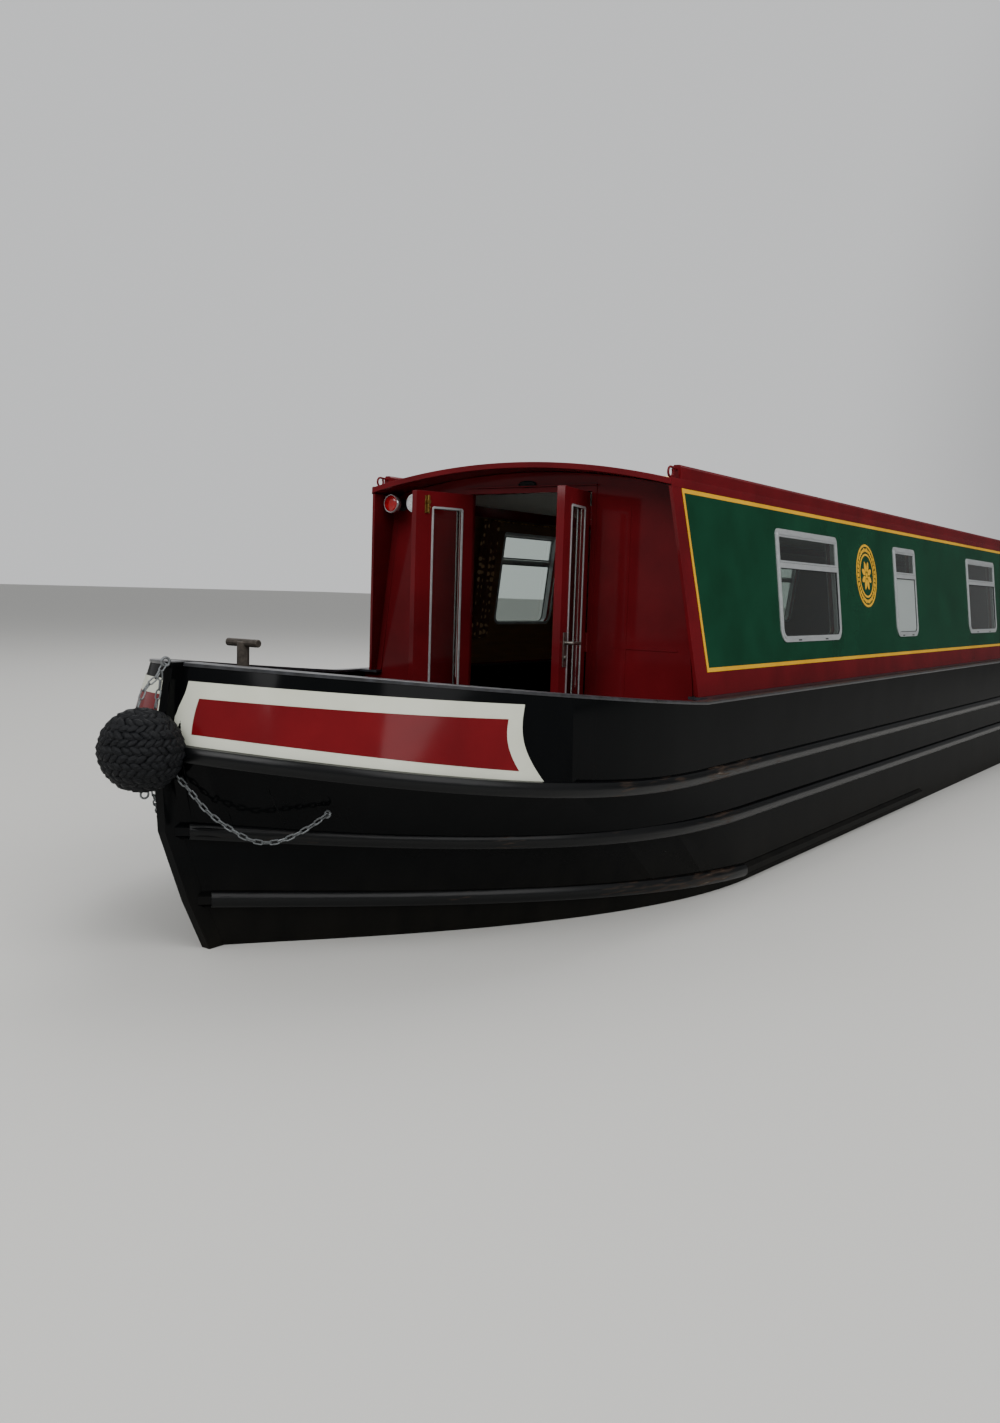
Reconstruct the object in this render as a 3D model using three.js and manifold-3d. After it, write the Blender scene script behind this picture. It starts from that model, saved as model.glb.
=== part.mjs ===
// A 50 ft steel canal narrowboat with a cruiser stern.
// Millimetres; +X is forward, +Y is port, +Z is up. The origin is at mid length on the centre line, on the
// underside of the baseplate, which is flat, so the boat stands on it when it is out of the water.
import * as THREE from 'three';
import { mergeVertices } from 'three/addons/utils/BufferGeometryUtils.js';
import Module from 'manifold-3d';

const wasm = await Module();
wasm.setup();

// Driving dimensions
const LENGTH = 15240;
const HALF_LENGTH = LENGTH / 2;
const GAP = 0.3;                 // between touching pieces
const CLEAR = 6;                 // around pieces that move
const BASEPLATE = 10;            // plate thickness under the boat
const HULL_WALL = 40;            // hull plate with its frames and lining
const GUNWALE_Z = 1290;
const GUNWALE_PLATE = 12;
const COUNTER_Z = 440;           // the flat plate above the propeller
const COUNTER_PLATE = 8;
const CABIN_FRONT = 5330;        // bottom front corner of the cabin side
const CABIN_REAR = -5550;
const CABIN_RAKE = 127;          // the top of the side reaches this far ahead of its bottom
const CABIN_FOOT = 932;          // half width over the sides at the gunwale
const CABIN_TOP = 818;           // half width at the roof edge
const CABIN_WALL = 45;
const HOOD_WALL = 15;            // bare steel of the side ahead of the bulkhead
const ROOF_EDGE_Z = 2204;
const ROOF_CROWN_Z = 2296;
const ROOF_PLATE = 26;
const SIDE_TOP_Z = 2174;
const BULKHEAD_X = 5287;         // front face of the front bulkhead
const SILL_Z = 720;
const DOORWAY_TOP_Z = 2174;
const DOORWAY_HALF = 343;
const DOOR_PLATE = 35;
const PORT_DOOR_ANGLE = 102;     // degrees open, as it stands
const STBD_DOOR_ANGLE = 106;
const WELL_FLOOR_Z = 620;
const CABIN_FLOOR_Z = 200;
const LOCKER_X = 6480;           // rear edge of the foredeck over the gas locker
const DECK_Z = 1270;             // stern deck
const FENDER_R = 142.5;
const FENDER_Z = 1170;
const PROP_Z = 230;
const PROP_X = -6800;
const SHAFT_R = 16;
const STOCK_X = -7080;
const STOCK_R = 22;
const BEYOND = 9000;             // past the boat on every side, for cutting
const HIGH = 3000;

// Plan and sheer of the hull at its levels. Columns: z at the parallel body, rise at the stem, power of the
// rise, half breadth, x where the bow curve starts, x of the stem, then the two powers of the bow curve.
const LEVEL = {
  bottom: [BASEPLATE + GAP, 0, 1, 1020, 4400, 6950, 2, 1],
  counter: [COUNTER_Z, 0, 1, 1033, 4950, 7165, 2, 0.92],
  low: [502, 132, 1, 1035, 5010, 7260, 2.02, 0.9],
  mid: [771, 118, 2.05, 1038, 4935, 7360, 2.9, 0.8],
  strake: [981, 176, 1.9, 1041, 5450, 7380, 3.04, 1.586],
  top: [GUNWALE_Z, 160, 1.106, 1041, 5478, 7330, 2.825, 1.328],
};
// The stern: x where its curve starts, x of its end, then the two powers. The swim narrows to the propeller.
const STERN = {
  bottom: [-4300, -6620, 2.2, 1],
  swim: [-4300, -6640, 2.2, 1],
  counter: [-6250, -7300, 2.2, 2],
  low: [-6250, -7330, 2.2, 2],
  mid: [-6270, -7370, 2.2, 2],
  strake: [-6300, -7395, 2.2, 2],
  top: [-6300, -7400, 2.2, 2],
};
// Windows along the port side: x of the front edge and x of the rear edge of the frame. To starboard the first
// window is narrower, and the others are opposite these.
const PORT_WINDOWS = [
  [4367, 3483],
  [2448, 1979],
  [621, -278],
  [-1305, -1775],
  [-3130, -4030],
];
const STBD_WINDOWS = [[4367, 3735], ...PORT_WINDOWS.slice(1)];
const WINDOW_BOTTOM_Z = 1506;
const WINDOW_TOP_Z = 2065;
const WINDOW_CORNERS = [70, 34]; // radii, bottom and top
const FRAME = 28;                // width of the aluminium frame
const FRAME_PROUD = 10;
const PANE_PROUD = 5;

const COLOUR = {
  black: 0x14161a,
  red: 0x8b1a1e,
  steel: 0x8d9196,
  brass: 0xb08d3e,
  rope: 0x17181a,
  floor: 0x5a4a3a,
  glass: 0x30383c,
  grey: 0x45484b,
  cloth: 0x8a7a5a,
  lens: 0xb3201f,
};

// Solids

function solid(geometry) {
  const bare = geometry.index ? geometry.toNonIndexed() : geometry.clone();
  bare.deleteAttribute('normal');
  bare.deleteAttribute('uv');
  const merged = mergeVertices(bare, 1e-4);
  return new wasm.Manifold(new wasm.Mesh({
    numProp: 3,
    vertProperties: new Float32Array(merged.attributes.position.array),
    triVerts: new Uint32Array(merged.index.array),
  }));
}

function geometryOf(shape) {
  const mesh = shape.getMesh();
  const geometry = new THREE.BufferGeometry();
  geometry.setAttribute('position', new THREE.BufferAttribute(new Float32Array(mesh.vertProperties), 3));
  geometry.setIndex(new THREE.BufferAttribute(new Uint32Array(mesh.triVerts), 1));
  geometry.computeVertexNormals();
  return geometry;
}

function box(x0, x1, y0, y1, z0, z1) {
  const geometry = new THREE.BoxGeometry(x1 - x0, y1 - y0, z1 - z0);
  return solid(geometry.translate((x0 + x1) / 2, (y0 + y1) / 2, (z0 + z1) / 2));
}

function extrude(shape, depth) {
  return new THREE.ExtrudeGeometry(shape, { depth, bevelEnabled: false, curveSegments: 2 });
}

function outline(points) {
  return new THREE.Shape(points.map(([u, v]) => new THREE.Vector2(u, v)));
}

// Shape in (y, z), drawn out along X
function prismX(shape, x0, x1) {
  const turn = new THREE.Matrix4().set(0, 0, 1, x0, 1, 0, 0, 0, 0, 1, 0, 0, 0, 0, 0, 1);
  return solid(extrude(shape, x1 - x0).applyMatrix4(turn));
}

// Shape in (x, z), drawn out along Y
function slabY(shape, y0, y1) {
  const turn = new THREE.Matrix4().set(1, 0, 0, 0, 0, 0, -1, y1, 0, 1, 0, 0, 0, 0, 0, 1);
  return extrude(shape, y1 - y0).applyMatrix4(turn);
}

function prismY(shape, y0, y1) {
  return solid(slabY(shape, y0, y1));
}

function prismZ(shape, z0, z1) {
  return solid(extrude(shape, z1 - z0).translate(0, 0, z0));
}

function upright(radius, x, y, z0, z1, sides = 12) {
  const geometry = new THREE.CylinderGeometry(radius, radius, z1 - z0, sides);
  return solid(geometry.rotateX(Math.PI / 2).translate(x, y, (z0 + z1) / 2));
}

function along(radius, x0, x1, z, sides = 12) {
  const geometry = new THREE.CylinderGeometry(radius, radius, x1 - x0, sides);
  return solid(geometry.rotateZ(Math.PI / 2).translate((x0 + x1) / 2, 0, z));
}

// A profile of radius and height, spun about the vertical
function spun(profile, sides = 16) {
  return new THREE.LatheGeometry(profile.map(([r, h]) => new THREE.Vector2(r, h)), sides).rotateX(Math.PI / 2);
}

function tube(points, radius, steps, sides = 8) {
  const path = new THREE.CatmullRomCurve3(points.map(([x, y, z]) => new THREE.Vector3(x, y, z)));
  const ring = new THREE.Shape(new THREE.EllipseCurve(0, 0, radius, radius, 0, 2 * Math.PI).getPoints(sides));
  return solid(new THREE.ExtrudeGeometry(ring, { steps, extrudePath: path, bevelEnabled: false }));
}

function joined(shapes) {
  return shapes.reduce((all, next) => all.add(next));
}

// The hull's form

const BOW_POINTS = 12;
const STERN_POINTS = 9;
const CURVE_SAMPLES = 72;

// Plan points of one end of one level, from the parallel body to the centre line, set in by a distance
function endCurve([start, tip, m, n], half, inset, count) {
  const dense = [];
  for (let i = 0; i <= CURVE_SAMPLES; i += 1) {
    const t = Math.sin((i / CURVE_SAMPLES) * Math.PI / 2);
    dense.push([start + (tip - start) * t, half * Math.max(0, 1 - t ** m) ** (1 / n)]);
  }
  const way = Math.sign(tip - start);
  const moved = dense.map(([x, y], i) => {
    if (i === 0) return [x, y - inset];
    if (i === CURVE_SAMPLES) return [x - way * inset, 0];
    const [ax, ay] = dense[i - 1];
    const [bx, by] = dense[i + 1];
    const run = Math.hypot(bx - ax, by - ay);
    return [x - inset * way * (ay - by) / run, y - inset * Math.abs(bx - ax) / run];
  });
  const kept = [moved[0]];
  for (let i = 1; i <= CURVE_SAMPLES; i += 1) {
    const [x, y] = moved[i];
    if (y <= 0) {
      const [px, py] = moved[i - 1];
      kept.push([px + (x - px) * py / (py - y || 1), 0]);
      break;
    }
    kept.push([x, y]);
  }
  return resampled(kept, count);
}

function resampled(points, count) {
  const far = [0];
  for (let i = 1; i < points.length; i += 1) {
    far.push(far[i - 1] + Math.hypot(points[i][0] - points[i - 1][0], points[i][1] - points[i - 1][1]));
  }
  const total = far[far.length - 1];
  return Array.from({ length: count }, (_, i) => {
    if (i === count - 1) return points[points.length - 1];
    const target = total * (1 - (1 - i / (count - 1)) ** 1.5);
    let k = 1;
    while (k < points.length - 1 && far[k] < target) k += 1;
    const part = (target - far[k - 1]) / (far[k] - far[k - 1]);
    return points[k].map((v, axis) => points[k - 1][axis] + (v - points[k - 1][axis]) * part);
  });
}

// Height of a level at x
function sheer(name, x) {
  const [z, rise, power, , start, tip] = LEVEL[name];
  return z + rise * Math.min(1, Math.max(0, (x - start) / (tip - start))) ** power;
}

// One closed ring of the hull: port side from the stern to the stem, then back along starboard
function hullRing([name, stern, lift, inset]) {
  const [, , , half, start, tip, m, n] = LEVEL[name];
  const bow = endCurve([start, tip, m, n], half, inset, BOW_POINTS);
  const aft = endCurve(STERN[stern], half, inset, STERN_POINTS).reverse();
  const port = [...aft, ...bow];
  const back = port.slice(1, -1).reverse().map(([x, y]) => [x, -y]);
  return [...port, ...back].map(([x, y]) => new THREE.Vector3(x, y, sheer(name, x) + lift));
}

// Joins hull rings, lowest first, into one closed solid, capped by strips from side to side
function loft(rings) {
  const count = rings[0].length;
  const tip = count / 2;
  const index = [];
  for (let r = 0; r < rings.length - 1; r += 1) {
    for (let i = 0; i < count; i += 1) {
      const j = (i + 1) % count;
      const [a, b, c, d] = [r * count + i, r * count + j, (r + 1) * count + j, (r + 1) * count + i];
      index.push(a, c, b, a, d, c);
    }
  }
  const last = (rings.length - 1) * count;
  const cap = (a, b, c) => index.push(a, b, c, last + a, last + c, last + b);
  cap(0, 1, count - 1);
  for (let i = 1; i < tip - 1; i += 1) {
    cap(i, i + 1, count - i - 1);
    cap(i, count - i - 1, count - i);
  }
  cap(tip - 1, tip, tip + 1);
  const geometry = new THREE.BufferGeometry();
  const places = rings.flat().flatMap((p) => [p.x, p.y, p.z]);
  geometry.setAttribute('position', new THREE.Float32BufferAttribute(places, 3));
  geometry.setIndex(index);
  return solid(geometry);
}

const HULL_TOP = -GUNWALE_PLATE - GAP;

// The solid form of the hull, set in by a distance; lift carries it on above its top and drop below its bottom
function hullForm(inset, lift, drop, counterLift) {
  const foot = drop > 0 ? [hullRing(['bottom', 'bottom', -drop, inset])] : [];
  const lower = loft([
    ...foot,
    hullRing(['bottom', 'bottom', 0, inset]),
    hullRing(['counter', 'swim', counterLift ? counterLift + 4 : 0, inset]),
  ]);
  const head = lift > 0 ? [hullRing(['top', 'top', lift, inset])] : [];
  const upper = loft([
    hullRing(['counter', 'counter', counterLift, inset]),
    hullRing(['low', 'low', 0, inset]),
    hullRing(['mid', 'mid', 0, inset]),
    hullRing(['strake', 'strake', 0, inset]),
    hullRing(['top', 'top', HULL_TOP, inset]),
    ...head,
  ]);
  return lower.add(upper);
}

const OUTSIDE = hullForm(-GAP, 60, 0, 0);
const INSIDE = hullForm(HULL_WALL + GAP, 60, 0, COUNTER_PLATE + GAP);
const PORT = box(-BEYOND, BEYOND, GAP, HIGH, -HIGH, HIGH);
const STBD = box(-BEYOND, BEYOND, -HIGH, -GAP, -HIGH, HIGH);
const STEM_HALF = 20;
const STEM_FROM = 6600;
const STEM_GAP = box(STEM_FROM, BEYOND, -STEM_HALF - GAP, STEM_HALF + GAP, -HIGH, HIGH);
const STRAKE_HALF = 28;          // half height of the bar where it meets the plating
const STRAKE_FACE = 14;          // and at its face
const STRAKE_EDGE = 5;
const STRAKE_PROUD = 25;

// A welded bar around the hull at one level, sunk into it by a distance
function strakeRing(level, sunk, proud = STRAKE_PROUD) {
  const bar = loft([
    hullRing([level, level, -STRAKE_HALF, -STRAKE_EDGE]),
    hullRing([level, level, -STRAKE_FACE, -proud]),
    hullRing([level, level, STRAKE_FACE, -proud]),
    hullRing([level, level, STRAKE_HALF, -STRAKE_EDGE]),
  ]);
  return bar.subtract(hullForm(sunk, 60, 0, 0)).subtract(STEM_GAP);
}

const LOW_STRAKE_REAR = 2200;    // the lowest bar protects the bow alone

function hullSide(half) {
  const shell = hullForm(0, 0, 0, 0).subtract(hullForm(HULL_WALL, 60, 20, COUNTER_PLATE));
  const lowBar = strakeRing('low', STRAKE_EDGE)
    .intersect(box(LOW_STRAKE_REAR, BEYOND, -HIGH, HIGH, 0, HIGH));
  const stock = upright(STOCK_R + CLEAR, STOCK_X, 0, COUNTER_Z - 100, COUNTER_Z + 100);
  const shaft = along(SHAFT_R + CLEAR, PROP_X, PROP_X + 600, PROP_Z);
  return shell.add(strakeRing('mid', STRAKE_EDGE)).add(lowBar).intersect(half)
    .subtract(stock).subtract(shaft);
}

function upperStrake(half) {
  return strakeRing('strake', -GAP).intersect(half);
}

const CAPPING_WIDTH = 55;
const CAPPING_PROUD = 3;
const SIDE_DECK = [882, 1000];   // its edges, from the centre line

// Steel capping round the bow and stern, widened to the side deck along the cabin
function gunwale(half, side) {
  const level = (lift, inset) => hullRing(['top', 'top', lift, inset]);
  const plate = loft([level(-GUNWALE_PLATE, -CAPPING_PROUD), level(0, -CAPPING_PROUD)]);
  const within = loft([level(-60, CAPPING_WIDTH), level(60, CAPPING_WIDTH)]);
  const [y0, y1] = SIDE_DECK.map((y) => side * y).sort((a, b) => a - b);
  const deck = box(CABIN_REAR, CABIN_FRONT, y0, y1, GUNWALE_Z - GUNWALE_PLATE, GUNWALE_Z);
  return plate.subtract(within).intersect(half).subtract(STEM_GAP).add(deck);
}

const BASEPLATE_EDGE = 15;       // the plate stands out past the sides for the weld

function baseplate() {
  const ring = hullRing(['bottom', 'bottom', 0, -BASEPLATE_EDGE]);
  return prismZ(outline(ring.map((p) => [p.x, p.y])), 0, BASEPLATE);
}

const STEM_AHEAD = 38;
const STEM_BEHIND = 70;

// The bar that the bow plates meet, following the stem's profile
function stemPost() {
  const profile = Object.keys(LEVEL).map((name) => [LEVEL[name][5], sheer(name, LEVEL[name][5])]);
  const front = profile.map(([x, z]) => [x + STEM_AHEAD, z]);
  const back = profile.map(([x, z]) => [x - STEM_BEHIND, z]).reverse();
  const post = prismY(outline([...front, ...back]), -STEM_HALF, STEM_HALF);
  return post.subtract(hullForm(-GAP, 60, 0, 0));
}

// Bow deck, well deck and cabin floor

const HALF_BEAM = 1200;          // a little past the widest part of the hull
const DECK_SLOPE = 0.087;
const FOREDECK_PLATE = 10;
const LOCKER_PLATE = 8;
const WELL_FLOOR_PLATE = 10;
const CABIN_FLOOR_PLATE = 25;
const LID_X = [6570, 6900];
const LID_HALF = 240;
const TSTUD_X = 7047;

function foredeckZ(x) {
  return 1352 + (x - LOCKER_X) * DECK_SLOPE;
}

function sloped(x0, x1, half, plate) {
  const points = [
    [x0, foredeckZ(x0) - plate],
    [x1, foredeckZ(x1) - plate],
    [x1, foredeckZ(x1)],
    [x0, foredeckZ(x0)],
  ];
  return prismY(outline(points), -half, half);
}

function foredeck() {
  const hatch = box(LID_X[0] - CLEAR, LID_X[1] + CLEAR, -LID_HALF - CLEAR, LID_HALF + CLEAR, 0, HIGH);
  return sloped(LOCKER_X, HALF_LENGTH, HALF_BEAM, FOREDECK_PLATE).intersect(INSIDE).subtract(hatch);
}

function lockerBulkhead() {
  const top = foredeckZ(LOCKER_X) - FOREDECK_PLATE - GAP;
  return box(LOCKER_X, LOCKER_X + LOCKER_PLATE, -HALF_BEAM, HALF_BEAM, WELL_FLOOR_Z + GAP, top)
    .intersect(INSIDE);
}

function wellFloor() {
  const under = WELL_FLOOR_Z - WELL_FLOOR_PLATE;
  return box(BULKHEAD_X + GAP, HALF_LENGTH, -HALF_BEAM, HALF_BEAM, under, WELL_FLOOR_Z).intersect(INSIDE);
}

function cabinFloor() {
  const rear = CABIN_REAR + CABIN_WALL + GAP;
  const front = BULKHEAD_X - CABIN_WALL - GAP;
  const under = CABIN_FLOOR_Z - CABIN_FLOOR_PLATE;
  return box(rear, front, -HALF_BEAM, HALF_BEAM, under, CABIN_FLOOR_Z).intersect(INSIDE);
}

const TSTUD_FOOT = 60;
const TSTUD_POST_R = 22;
const TSTUD_BAR_R = 14;
const TSTUD_BAR = 154;
const TSTUD_Z = 1508;

// Mooring post: a round upright on a square foot, with a bar across its head
function tStud() {
  const [x0, x1] = [TSTUD_X - TSTUD_FOOT, TSTUD_X + TSTUD_FOOT];
  const foot = [[x0, GAP], [x1, GAP], [x1, 10], [x0, 10]].map(([x, up]) => [x, foredeckZ(x) + up]);
  const bar = new THREE.CylinderGeometry(TSTUD_BAR_R, TSTUD_BAR_R, TSTUD_BAR, 12);
  const post = upright(TSTUD_POST_R, TSTUD_X, 0, foredeckZ(TSTUD_X) + 5, TSTUD_Z + 4);
  return joined([
    prismY(outline(foot), -TSTUD_FOOT, TSTUD_FOOT),
    post,
    solid(bar.translate(TSTUD_X, 0, TSTUD_Z)),
  ]);
}

// Bow fender and its chains

const FENDER_X = HALF_LENGTH - FENDER_R;

function ball(radius, segments = 20) {
  const geometry = new THREE.SphereGeometry(radius, segments, segments / 2);
  return solid(geometry.rotateX(Math.PI / 2).translate(FENDER_X, 0, FENDER_Z));
}

function stemSpace() {
  const profile = ['counter', 'low', 'mid', 'strake', 'top']
    .map((name) => [LEVEL[name][5] + STEM_AHEAD + GAP, sheer(name, LEVEL[name][5])]);
  const [, headZ] = profile[profile.length - 1];
  const points = [...profile, [STEM_FROM, headZ], [STEM_FROM, COUNTER_Z]];
  return prismY(outline(points), -STEM_HALF - GAP, STEM_HALF + GAP);
}

// The upper bar with a little room round it
function strakeSpace() {
  return strakeRing('strake', STRAKE_EDGE, STRAKE_PROUD + 1);
}

function bowFender() {
  return ball(FENDER_R).subtract(stemSpace()).subtract(OUTSIDE).subtract(strakeSpace());
}

const LINK_PITCH = 37.5;
const LINK_WIRE = 3.4;
const LINK_ROUND = 9;            // half width of a link, to the middle of its wire
const LINK_STRAIGHT = 12;        // half length of its straight part
const LINK_STEPS = 8;
const LINK_SIDES = 4;
const LINK_LEAN = 0.6;           // a hanging chain's links lie aslant

// One link lying in a plane through its direction, every second one turned by a quarter
function chainLink(at, direction, quarter) {
  const points = Array.from({ length: LINK_STEPS }, (_, i) => {
    const a = ((i + 0.5) / LINK_STEPS) * 2 * Math.PI;
    const x = Math.cos(a) * LINK_ROUND + Math.sign(Math.cos(a)) * LINK_STRAIGHT;
    return new THREE.Vector3(x, Math.sin(a) * LINK_ROUND, 0);
  });
  const path = new THREE.CatmullRomCurve3(points, true, 'catmullrom', 0.5);
  const places = [];
  const index = [];
  for (let i = 0; i < LINK_STEPS; i += 1) {
    const p = path.getPoint(i / LINK_STEPS);
    const t = path.getTangent(i / LINK_STEPS);
    const out = new THREE.Vector3(t.y, -t.x, 0).normalize();
    for (let j = 0; j < LINK_SIDES; j += 1) {
      const a = (j / LINK_SIDES) * 2 * Math.PI;
      const wire = p.clone().addScaledVector(out, Math.cos(a) * LINK_WIRE);
      places.push(wire.x, wire.y, wire.z + Math.sin(a) * LINK_WIRE);
      const [a0, b0] = [i * LINK_SIDES, ((i + 1) % LINK_STEPS) * LINK_SIDES];
      const next = (j + 1) % LINK_SIDES;
      index.push(a0 + j, b0 + j, b0 + next, a0 + j, b0 + next, a0 + next);
    }
  }
  const geometry = new THREE.BufferGeometry();
  geometry.setAttribute('position', new THREE.Float32BufferAttribute(places, 3));
  geometry.setIndex(index);
  const ahead = new THREE.Vector3(1, 0, 0);
  const roll = new THREE.Quaternion().setFromAxisAngle(ahead, quarter * Math.PI / 2 + LINK_LEAN);
  const turn = new THREE.Quaternion().setFromUnitVectors(ahead, direction).multiply(roll);
  return solid(geometry.applyQuaternion(turn).translate(at.x, at.y, at.z));
}

function chain(points) {
  const path = new THREE.CatmullRomCurve3(points.map(([x, y, z]) => new THREE.Vector3(x, y, z)));
  const count = Math.round(path.getLength() / LINK_PITCH);
  const links = [];
  for (let i = 0; i <= count; i += 1) {
    links.push(chainLink(path.getPointAt(i / count), path.getTangentAt(i / count), i % 2));
  }
  return joined(links);
}

// The long chain sags from the back of the fender to an eye on the bow
function sideChain(side) {
  const route = [
    [7384, 46, 1090],
    [7361, 88, 1040],
    [7319, 132, 966],
    [7268, 178, 910],
    [7219, 229, 869],
    [7180, 274, 860],
    [7144, 317, 872],
    [7098, 372, 910],
    [7060, 426, 960],
  ];
  return chain(route.map(([x, y, z]) => [x, side * y, z])).subtract(ball(FENDER_R + 1));
}

// Two short strands from the stem head: one over the top of the fender and one down behind it
function topChain() {
  const over = [
    [7384, 0, 1446], [7404, 0, 1422], [7424, 0, 1399],
    [7446, 0, 1383], [7470, 0, 1357], [7494, 0, 1330],
  ];
  const behind = [[7404, 0, 1422], [7404, 0, 1378], [7412, 0, 1346], [7424, 0, 1316]];
  return joined([chain(over), chain(behind)]).subtract(ball(FENDER_R + 1)).subtract(stemSpace());
}

// Cabin

function sideY(z) {
  return CABIN_FOOT + (CABIN_TOP - CABIN_FOOT) * (z - GUNWALE_Z) / (ROOF_EDGE_Z - GUNWALE_Z);
}

function windowShape(front, rear, margin) {
  const [x0, x1] = [rear + margin, front - margin];
  const [z0, z1] = [WINDOW_BOTTOM_Z + margin, WINDOW_TOP_Z - margin];
  const low = WINDOW_CORNERS[0] - margin;
  const high = Math.max(6, WINDOW_CORNERS[1] - margin);
  const shape = new THREE.Shape();
  shape.moveTo(x0 + low, z0);
  shape.lineTo(x1 - low, z0);
  shape.absarc(x1 - low, z0 + low, low, -Math.PI / 2, 0);
  shape.absarc(x1 - high, z1 - high, high, 0, Math.PI / 2);
  shape.absarc(x0 + high, z1 - high, high, Math.PI / 2, Math.PI);
  shape.absarc(x0 + low, z0 + low, low, Math.PI, 1.5 * Math.PI);
  return shape;
}

// A slab in (x, z) that leans as the cabin side does, from one depth inside its outer face to another
function onSide(shape, deep, proud, side) {
  const slope = side * (CABIN_TOP - CABIN_FOOT) / (ROOF_EDGE_Z - GUNWALE_Z);
  const foot = side * CABIN_FOOT - slope * GUNWALE_Z;
  const lean = new THREE.Matrix4().set(1, 0, 0, 0, 0, 1, slope, foot, 0, 0, 1, 0, 0, 0, 0, 1);
  const slab = side > 0 ? slabY(shape, -deep, proud) : slabY(shape, -proud, deep);
  return solid(slab.applyMatrix4(lean));
}

function windowsOn(side) {
  return side > 0 ? PORT_WINDOWS : STBD_WINDOWS;
}

function cabinSide(side) {
  const rake = CABIN_RAKE / (ROOF_EDGE_Z - GUNWALE_Z);
  const top = CABIN_FRONT + rake * (SIDE_TOP_Z - GUNWALE_Z);
  const panel = outline([
    [CABIN_REAR, GUNWALE_Z + GAP],
    [CABIN_FRONT, GUNWALE_Z + GAP],
    [top, SIDE_TOP_Z],
    [CABIN_REAR - 60, SIDE_TOP_Z],
  ]);
  for (const [front, rear] of windowsOn(side)) panel.holes.push(windowShape(front, rear, FRAME));
  const thinned = [[BULKHEAD_X, HALF_LENGTH], [-HALF_LENGTH, CABIN_REAR]].map(([x0, x1]) => {
    const end = outline([[x0, 0], [x1, 0], [x1, HIGH], [x0, HIGH]]);
    return onSide(end, CABIN_WALL + CLEAR, -HOOD_WALL, side);
  });
  return onSide(panel, CABIN_WALL, 0, side).subtract(joined(thinned));
}

// Aluminium frame and its pane
function cabinWindow(front, rear, side) {
  const ring = windowShape(front, rear, 0);
  ring.holes.push(windowShape(front, rear, FRAME + 4));
  const pane = windowShape(front, rear, FRAME);
  return onSide(ring, -GAP, FRAME_PROUD, side).add(onSide(pane, -GAP, PANE_PROUD, side));
}

function roofArc(y, drop) {
  const rise = ROOF_CROWN_Z - ROOF_EDGE_Z;
  const radius = (CABIN_TOP ** 2 + rise ** 2) / (2 * rise);
  return ROOF_CROWN_Z - radius + Math.sqrt((radius - drop) ** 2 - y ** 2);
}

const ROOF_STEPS = 16;

function arcPoints(half, drop) {
  return Array.from({ length: ROOF_STEPS + 1 }, (_, i) => {
    const y = -half + 2 * half * i / ROOF_STEPS;
    return [y, roofArc(y, drop)];
  });
}

const HATCH_HALF = 340;
const HATCH_X = [-5600, -4860];
const RUNNER_FRONT = -4080;
const RUNNER_Y = 364;
const RUNNER_HALF = 12;
const RUNNER_TOP_Z = 2320;
const REAR_HALF = 300;           // half width of the rear doorway
const REAR_SILL_Z = 1300;

function roof() {
  const section = outline([...arcPoints(CABIN_TOP + 2, 0), ...arcPoints(CABIN_TOP + 2, ROOF_PLATE).reverse()]);
  const slot = box(-HALF_LENGTH, HATCH_X[1] - 60, -REAR_HALF, REAR_HALF, GUNWALE_Z, HIGH);
  const plate = prismX(section, CABIN_REAR - 65, CABIN_FRONT + CABIN_RAKE + 5).subtract(slot);
  const runners = [1, -1].map((side) => {
    const y = side * RUNNER_Y;
    return box(HATCH_X[0], RUNNER_FRONT, y - RUNNER_HALF, y + RUNNER_HALF, ROOF_CROWN_Z - 35, RUNNER_TOP_Z);
  });
  return joined([plate, ...runners]);
}

const HANDRAIL_Z = 2266;
const HANDRAIL_WIDTH = 40;
const HANDRAIL_EDGE = 8;
const HANDRAIL_FRONT = 5370;     // the turned end of the rail reaches on to the roof's front edge

function handrail(side) {
  const [outer, inner] = [CABIN_TOP, CABIN_TOP - HANDRAIL_WIDTH];
  const section = [
    [outer, roofArc(outer, -0.5)],
    [outer, HANDRAIL_Z - HANDRAIL_EDGE],
    [outer - HANDRAIL_EDGE, HANDRAIL_Z],
    [inner + HANDRAIL_EDGE, HANDRAIL_Z],
    [inner, HANDRAIL_Z - HANDRAIL_EDGE],
    [inner, roofArc(inner, -0.5)],
  ];
  return prismX(outline(section.map(([y, z]) => [side * y, z])), CABIN_REAR + 100, HANDRAIL_FRONT);
}

// A wall across the boat, as wide as the hull below the gunwale and as the cabin above it
function crossWall(x0, x1, bottom) {
  const low = box(x0, x1, -HALF_BEAM, HALF_BEAM, bottom, GUNWALE_Z - GUNWALE_PLATE - GAP).intersect(INSIDE);
  const edge = (z) => Math.min(sideY(z) - CABIN_WALL - GAP, SIDE_DECK[0] - 1);
  const top = SIDE_TOP_Z - 2;
  const section = [
    [-edge(GUNWALE_Z), GUNWALE_Z - 90],
    [edge(GUNWALE_Z), GUNWALE_Z - 90],
    [edge(GUNWALE_Z), GUNWALE_Z + 20],
    [edge(top), top],
    ...arcPoints(edge(top) - 20, ROOF_PLATE + 3).reverse(),
    [-edge(top), top],
    [-edge(GUNWALE_Z), GUNWALE_Z + 20],
  ];
  return low.add(prismX(outline(section), x0, x1));
}

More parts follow.
